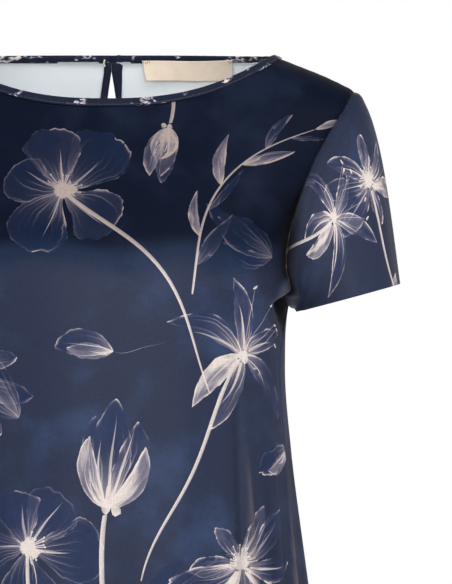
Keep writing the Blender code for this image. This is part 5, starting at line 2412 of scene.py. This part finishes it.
@dataclass
class Sewing:
    """Small stitches, each a bead of thread half sunk in the cloth."""

    pitch: float = 2.9 * MM
    length: float = 2.2 * MM
    radius: float = 0.20 * MM
    sides: int = 6

    def beads(self, starts: Array, ends: Array) -> tuple[Array, Array]:
        """Points and quads of one six-sided bead from each start to its end, its ends drawn in and closed.

        Args:
            starts: Where the stitches start.
            ends: Where they end.

        Returns:
            Points and quads.
        """
        ahead = unit(ends - starts)
        ring = rings(*square_to(ahead, (0.31, 0.87, 0.38)), self.sides)[:, None]
        share, wide = np.array([0, 0.18, 0.82, 1.0]), np.array([0.4, 1.0, 1.0, 0.4])
        middle = starts[:, None] + (ends - starts)[:, None] * share[None, :, None]
        points = middle[:, :, None] + ring * (self.radius * wide)[None, :, None, None]
        caps = np.array([[0, 3, 2, 1], [0, 5, 4, 3], [18, 19, 20, 21], [18, 21, 22, 23]])
        one = np.concatenate([grid_quads(4, self.sides, ring=True), caps])
        shift = np.arange(len(starts))[:, None, None] * 4 * self.sides
        return points.reshape(-1, 3), (one[None] + shift).reshape(-1, 4)

    def row(self, name: str, path: Array, thread: Material) -> Piece:
        """Stitches of even pitch along a path.

        Args:
            name: The row's name.
            path: The path's points.
            thread: The thread's finish.

        Returns:
            The row.
        """
        length = run_length(path, 0)
        begin = np.arange(self.pitch, length[-1] - self.pitch, self.pitch)
        starts, ends = (
            np.stack([np.interp(begin + step, length, path[:, axis]) for axis in range(3)], axis=-1)
            for step in (0, self.length)
        )
        return self.piece(name, starts, ends, thread)

    def piece(self, name: str, starts: Array, ends: Array, thread: Material) -> Piece:
        """The stitches as one object.

        Args:
            name: Its name.
            starts: Where the stitches start.
            ends: Where they end.
            thread: The thread's finish.

        Returns:
            The stitches.
        """
        points, quads = self.beads(starts, ends)
        made = new_object(name, points, quads)
        made.data.materials.append(thread)
        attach(made, "root")
        LOG.info("%s: %d stitches", name, len(starts))
        return made


@dataclass
class NeckBinding(BoundEdge):
    """The strip round the neckline, from one side of the back opening round the front to the other."""

    name: str = "neck_bias_binding"
    node: str = "neck_binding"
    width: float = 6.6 * MM
    steps: int = 110
    flat: tuple[float, float] = (0.0225, 0.66)
    end_gap: float = 0.02 * MM

    def line(self, share: float) -> Array:
        """The neckline moved in by a share of the strip's width.

        Args:
            share: The share.

        Returns:
            (turn, height) pairs.
        """
        inset = share * self.width
        start = math.asin(self.end_gap / BODY.neck_half_width) / (math.pi / 2)
        front = BODY.neck_line(np.linspace(0, 1, self.steps + 1), inset, Panel.FRONT)
        back = BODY.neck_line(np.linspace(start, 1, self.steps + 1), inset, Panel.BACK)
        half = np.concatenate([front[:-1], back[::-1]])
        return np.concatenate([half[:0:-1] * np.array([-1, 1]), half])


@dataclass
class KeyholeBinding(BoundEdge):
    """The strip down one side of the back opening, round its foot and up the other. It is a little wider at
    the top of its +X side."""

    name: str = "keyhole_bias_binding"
    node: str = "keyhole_binding"
    width: float = 6.4 * MM
    steps: int = 44
    flat: tuple[float, float] = (0.0205, 0.20)
    top_height: float = 1.4 * MM
    widens_from: float = -45.0 * MM
    wider: float = 6.4 * MM
    narrower: float = 2.6 * MM

    def line(self, share: float) -> Array:
        """The opening's edge moved in by a share of the strip's width.

        Args:
            share: The share.

        Returns:
            (turn, height) pairs.
        """
        halves = []
        for side in Side:
            path = BODY.keyhole_path(self.steps, share * self.width)
            path = np.concatenate([path, [[path[-1, 0], self.top_height]]])
            rise = smooth_step((path[:, 1] - self.widens_from) / (self.top_height - self.widens_from))
            x = path[:, 0] + share * (self.wider * rise - self.narrower) * (side is Side.RIGHT)
            turn = BODY.turn_at_width(x, path[:, 1], Panel.BACK)
            halves.append(pairs(turn * side.value, path[:, 1]))
        right, left = halves
        return np.concatenate([left[:0:-1], right])


@dataclass
class NeckLabel:
    """The bare ribbon label inside the back neck, tacked at its top corners and a little lifted below."""

    left: float = 26.5 * MM
    right: float = 104.5 * MM
    top: float = 0.4 * MM
    tall: float = 17.0 * MM
    slant: float = 3.4 * MM
    clear: float = 2.1 * MM
    thickness: float = 0.4 * MM
    lift: float = 1.6 * MM
    columns: int = 90
    rows: int = 20

    def surface(self, u: Array, v: Array) -> tuple[Array, Array, Array]:
        """The face that shows: u goes across, v up. It follows the back's curve just clear of it, its lower
        corners lift as (1 - v) squared, and a slow wave, two sines, runs across.

        Args:
            u: Shares of the width.
            v: Shares of the height.

        Returns:
            Points, directions towards the wearer, and (x, height) places.
        """
        x = self.left + self.slant * (1 - v) * (1 - u) + (self.right - self.left) * u
        x = x + 0.25 * MM * np.sin(9 * v + 1) * (1 - 2 * u)
        height = self.top - self.tall * (1 - v) + 0.3 * MM * np.sin(7 * u + 0.6)
        turn = BODY.turn_at_width(x, height, Panel.BACK)
        normal = BODY.normal(turn, height)
        curl = self.lift * (1 - v) ** 2 * (0.35 + 0.65 * (2 * u - 1) ** 2)
        wave = 0.35 * MM * np.sin(11 * u + 0.8) * (1 - v) + 0.2 * MM * np.sin(23 * u + 2) * (1 - v)
        off = self.clear + self.thickness + np.maximum(curl + wave, 0)
        points = BODY.plain(turn, height) - normal * off[..., None]
        return points, -normal, np.stack([x, height], axis=-1) / MM

    def build(self, tape: Material, thread: Material) -> list[Piece]:
        """Builds the label and its tacks.

        Args:
            tape: The ribbon's finish.
            thread: The tacks' finish.

        Returns:
            The label and the tacks.
        """
        u, v = np.meshgrid(np.linspace(0, 1, self.columns), np.linspace(0, 1, self.rows))
        points, lean, place = self.surface(u, v)
        piece = replace(Cloth.of_grid(points, lean, place), thickness=self.thickness).shell("neck_label")
        finish_piece(piece, "label", (tape,))
        return [piece, self.tacks(thread)]

    def tacks(self, thread: Material) -> Piece:
        """Short stitches over both top corners.

        Args:
            thread: Their finish.

        Returns:
            The tacks.
        """
        across = np.array([0.012, 0.030, 0.050, 0.072, 0.955, 0.972, 0.987])
        low = np.full(len(across), 0.86) + 0.05 * np.sin(9 * across * 20)
        start, _, _ = self.surface(across, low)
        end, _, _ = self.surface(across + 0.012, low + 0.10)
        return Sewing(radius=0.28 * MM).piece("label_tacks", start, end, thread)


@dataclass
class Closure:
    """The button behind the neckline's +X end, the thread loop round its shank, and the loop's sewn-down end,
    which hangs inside."""

    button_radius: float = 4.6 * MM
    button_thick: float = 1.9 * MM
    rim: float = 0.665 * MM
    shank_radius: float = 1.2 * MM
    shank_height: float = 1.7 * MM
    from_centre: float = 6.2 * MM
    lowered: float = 1.5 * MM
    binding_width: float = 6.6 * MM
    binding_face: float = 0.95 * MM
    loop_radius: float = 0.45 * MM
    loop_slack: float = 0.3 * MM
    loop_tail: float = 3.5 * MM
    loop_dip: float = 0.9 * MM
    loop_twist: float = 2.2 * MM
    end_from_centre: float = 5.6 * MM
    end_length: float = 6.5 * MM
    end_radius: float = 0.8 * MM
    end_sway: float = 0.8 * MM
    end_under: float = 2.5 * MM
    end_twist: float = 2.6 * MM
    binding_back: float = 2.0 * MM
    sides: int = 40

    def middle(self) -> float:
        """The height of the button's middle, a little below that of the neck binding."""
        return BODY.neck_rise_back - self.binding_width / 2 - self.lowered

    def on_back(self, x: Array, height: Array, lift: Array | float) -> Array:
        """Points of the back's form, moved out by lift."""
        turn = BODY.turn_at_width(x, height, Panel.BACK)
        return BODY.plain(turn, height) + BODY.normal(turn, height) * (lift + 0 * turn)[..., None]

    def button(self, plastic: Material) -> Piece:
        """The button: its profile turned about its shank, and set on the binding as the back faces there.

        Args:
            plastic: Its finish.

        Returns:
            The button.
        """
        top = self.shank_height + self.button_thick
        around, out = self.button_profile().T
        turn = even_turns(self.sides)
        around, out = around[:, None], out[:, None]
        ring = np.stack([around * np.cos(turn), around * np.sin(turn), out + 0 * turn], axis=-1)
        poles = np.array([[0, 0, top - 0.64 * self.rim], [0, 0, 0]])
        local = np.concatenate([ring.reshape(-1, 3), poles])
        quads = grid_quads(len(around), self.sides, ring=True)[:, ::-1]
        j = np.arange(self.sides)
        k = (j + 1) % self.sides
        first, last = len(local) - 2, (len(around) - 1) * self.sides
        inner, outer = [first + 0 * j, j, k], [first + 1 + 0 * j, last + k, last + j]
        fans = np.concatenate([np.stack(inner, axis=-1), np.stack(outer, axis=-1)])
        height, x = np.array([self.middle()]), np.array([self.from_centre])
        facing = BODY.normal(BODY.turn_at_width(x, height, Panel.BACK), height)[0]
        side = unit(np.cross([0.0, 0.0, 1.0], facing))
        axes = np.stack([side, np.cross(facing, side), facing])
        spot = self.on_back(x, height, self.binding_face)[0]
        piece = new_object("shank_button", spot + local @ axes, quads, fans)
        finish_piece(piece, "button", (plastic,))
        return piece

    def button_profile(self) -> Array:
        """The button's profile from its middle: a shallow dish, a rounded rim, half a turn of an ellipse, its
        flat underside and the shank.

        Returns:
            (radius, height) pairs from the top down.
        """
        radius, rise, half = self.button_radius, self.shank_height, self.button_thick / 2
        bend = np.linspace(0, math.pi, 9)
        edge = np.stack([radius - self.rim * (1 - np.sin(bend)), rise + half + half * np.cos(bend)], axis=-1)
        dish = np.array([[0.3, -0.62], [0.55, -0.5], [0.72, -0.12], [0.8, 0.0]]) * [radius, self.rim]
        under = [(0.8 * radius, rise), (1.3 * self.shank_radius, rise)]
        shank = [(self.shank_radius, rise - 0.3 * MM), (self.shank_radius, 0.0)]
        return np.concatenate([dish + [0, rise + self.button_thick], edge, under, shank])

    def cord(self, name: str, path: Array, radius: float, pitch: float) -> tuple[Array, Array]:
        """Two plies twisted round a path: each a ring of eight points carried along a helix.

        Args:
            name: The cord's name.
            path: The path's points.
            radius: The whole cord's radius.
            pitch: How far along one turn of the twist takes.

        Returns:
            Points and quads of both plies, their ends closed.
        """
        along = run_length(path, 0)
        ahead = unit(np.gradient(path, axis=0))
        side, up = square_to(ahead, (0.13, 0.92, 0.37))
        ring = rings(side, up, 8)
        rows, faces = [], []
        for ply in range(2):
            angle = (along / pitch + ply / 2) * 2 * math.pi
            centre = path + (np.cos(angle)[:, None] * side + np.sin(angle)[:, None] * up) * radius * 0.45
            ends = np.minimum(np.arange(len(path)), np.arange(len(path))[::-1])
            wide = radius * 0.56 * np.clip(0.35 + 0.35 * ends, 0, 1)
            rows.append((centre[:, None] + ring * wide[:, None, None]).reshape(-1, 3))
            start, last = ply * len(path) * 8, (len(path) - 1) * 8
            caps = np.array([[0, 3, 2, 1], [0, 7, 4, 3], [7, 6, 5, 4]])
            faces += [grid_quads(len(path), 8, start, ring=True), caps + start, caps[:, ::-1] + start + last]
        LOG.info("%s: %.1f mm long", name, along[-1] / MM)
        return np.concatenate(rows), np.concatenate(faces)

    def loop(self, thread: Material) -> Piece:
        """The loop: out from the -X binding, half a turn round the shank and back.

        Args:
            thread: Its finish.

        Returns:
            The loop.
        """
        around = self.shank_radius + self.loop_radius + self.loop_slack
        far = -self.from_centre - self.loop_tail
        angle = np.radians(np.linspace(-90, 90, 40))
        bend = np.stack([around * np.cos(angle), around * np.sin(angle)], axis=-1)
        run = np.linspace(far, 0, 30)[:-1]
        flat = np.concatenate([np.stack([run, 0 * run - around], axis=-1), bend])
        flat = np.concatenate([flat, np.stack([run, 0 * run + around], axis=-1)[::-1]])
        dip = self.loop_dip * smooth_step(1 - (flat[:, 0] - far) / (2 * MM))
        lift = self.binding_face + self.loop_radius - dip
        path = self.on_back(flat[:, 0] + self.from_centre, flat[:, 1] + self.middle(), lift)
        points, quads = self.cord("thread_loop", path, self.loop_radius, self.loop_twist)
        piece = new_object("thread_loop", points, quads)
        finish_piece(piece, "button_loop", (thread,))
        return piece

    def inner_end(self, thread: Material) -> Piece:
        """The loop's end inside: a short cord that hangs from under the binding and turns back on itself.

        Args:
            thread: Its finish.

        Returns:
            The cord.
        """
        down = np.linspace(0, 1, 60)
        x = -self.end_from_centre - self.end_sway * np.sin(down * math.pi)
        height = BODY.neck_rise_back - self.end_under - self.end_length * down
        lift = -(self.binding_back + self.end_radius + self.loop_slack)
        path = self.on_back(x, height, lift)
        points, quads = self.cord("loop_tail", path, self.end_radius, self.end_twist)
        piece = new_object("loop_tail", points, quads)
        finish_piece(piece, "loop_end", (thread,))
        return piece


# ---- The studio ----


@dataclass(frozen=True)
class Softbox:
    """One soft light: where it stands, what it faces, its size and its strength."""

    name: str
    place: tuple[float, float, float]
    facing: tuple[float, float, float]
    size: tuple[float, float]
    power: float
    mirrored: bool = True

    def build(self) -> None:
        """Hangs the light."""
        light = bpy.data.lights.new(self.name, "AREA")
        light.shape = "RECTANGLE"
        light.size, light.size_y = self.size
        light.energy = self.power
        lamp = bpy.data.objects.new(self.name, light)
        lamp.location = self.place
        lamp.visible_glossy = self.mirrored
        aim = Vector(self.facing) - Vector(self.place)
        lamp.rotation_euler = aim.to_track_quat("-Z", "Y").to_euler()
        bpy.context.scene.collection.objects.link(lamp)


@dataclass
class Studio:
    """A pale floor, soft lights and the camera of a straight front view."""

    frame_pixels: int = 452
    pixel: float = 0.84 * MM
    camera_place: tuple[float, float, float] = (0.09828, -3.0, -0.19824)
    floor_height: float = -1.42
    floor_reach: float = 3.2
    floor_sides: int = 96
    backdrop: float = 1.0
    around: float = 0.48
    mirrored: float = 0.07
    boxes: tuple[Softbox, ...] = (
        Softbox("front_box", (0.7, -3.5, 0.2), (0.1, 0, -0.32), (3.2, 1.6), 49.5),
        Softbox("high_box", (0.1, -1.8, 2.9), (0.1, 0, -0.1), (2.4, 1.6), 48.0, False),
        Softbox("shoulder_box", (2.3, -1.8, 1.8), (0.25, 0, -0.1), (1.2, 1.2), 7.0),
        Softbox("right_box", (2.6, -1.2, 0.7), (0.2, 0, -0.15), (1.4, 2.0), 34.0, False),
        Softbox("left_box", (-2.4, -1.9, 0.9), (0.05, 0, -0.1), (1.4, 2.0), 36.0, False),
        Softbox("back_box", (0.0, 2.8, 0.6), (0, 0, -0.25), (2.2, 1.8), 60.0, False),
    )

    def build(self) -> None:
        """Sets up the floor, the lights and the camera."""
        self.floor()
        self.world()
        for box in self.boxes:
            box.build()
        self.camera()

    def floor(self) -> None:
        """A pale round floor, flat and plain."""
        turn = even_turns(self.floor_sides)
        ring = np.stack([np.cos(turn), np.sin(turn), 0 * turn], axis=-1) * self.floor_reach
        points = np.concatenate([[[0, 0, 0]], ring]) + [0, 0, self.floor_height]
        j = np.arange(self.floor_sides)
        fan = np.stack([0 * j, 1 + j, 1 + (j + 1) % self.floor_sides], axis=-1)
        piece = new_object("studio_floor", points, fan)
        piece.data.materials.append(FloorPaper().material())

    def world(self) -> None:
        """White where the camera looks past the blouse, softer as light, and dark in what the satin mirrors,
        as in a room whose ceiling is black."""
        world = bpy.data.worlds.new("studio")
        world.use_nodes = True
        bpy.context.scene.world = world
        graph = Graph(world.node_tree)
        background = world.node_tree.nodes["Background"]
        background.inputs["Color"].default_value = (1, 1, 1, 1)
        path = graph.node("ShaderNodeLightPath", {})
        seen, mirrored = (Signal(graph, path.outputs[name]) for name in ("Is Camera Ray", "Is Glossy Ray"))
        light = mirrored * (self.mirrored - self.around) + self.around
        graph.feed(background.inputs["Strength"], graph.math("MAXIMUM", light, seen * self.backdrop))

    def camera(self) -> None:
        """The camera: level, straight in front, its frame as wide as the photograph's at the blouse."""
        scene = bpy.context.scene
        camera = bpy.data.cameras.new("front_view")
        camera.sensor_fit = "HORIZONTAL"
        camera.angle = 2 * math.atan(self.frame_pixels * self.pixel / 2 / -self.camera_place[1])
        holder = bpy.data.objects.new("front_view", camera)
        holder.location = self.camera_place
        holder.rotation_euler = (math.pi / 2, 0, 0)
        scene.collection.objects.link(holder)
        scene.camera = holder
        scene.view_settings.view_transform = "Standard"


# ---- The blouse ----


def main() -> None:
    """Builds the blouse piece by piece, then the studio."""
    logging.basicConfig(level=logging.INFO, format="%(name)s: %(message)s")
    satin, wrong = PrintedSatin().material(), WrongSide().material()
    # Painted shade: the sleeves' copy of the satin darkens only near their top, towards a lighter colour than
    # the chest's.
    sleeve_painted_shade = (0.0112, 0.0122, 0.0245)
    sleeve_finish = PrintedSatin("printed_satin_sleeves", 6, 1, 252.0, 104.0, sheen=0.11, dark=sleeve_painted_shade)
    sleeve_satin = sleeve_finish.material()
    navy_thread = SewingThread("navy_thread", (0.030, 0.036, 0.060), (0.075, 0.085, 0.120)).material()
    pale_thread = SewingThread("pale_thread", (0.62, 0.55, 0.46), (0.82, 0.75, 0.65)).material()
    BodyPanel(Panel.FRONT, FRONT_PRINT).build(satin, wrong)
    BodyPanel(Panel.BACK, BACK_PRINT, flat=(0.52, 0.66), area=0.30).build(satin, wrong)
    Sleeve(Side.RIGHT, RIGHT_SLEEVE_PRINT).build(sleeve_satin, wrong)
    Sleeve(Side.LEFT, LEFT_SLEEVE_PRINT).build(sleeve_satin, wrong)
    neck = NeckBinding()
    neck.build(BindingSatin().material())
    neck.stitches(0.80, navy_thread)
    keyhole = KeyholeBinding()
    keyhole.build(BindingSatin("plain_binding_satin", scraps=0.0).material())
    NeckLabel().build(LabelTape().material(), navy_thread)
    closure = Closure()
    closure.button(ButtonPlastic().material())
    closure.loop(navy_thread)
    closure.inner_end(pale_thread)
    Studio().build()


if __name__ == "__main__":
    main()
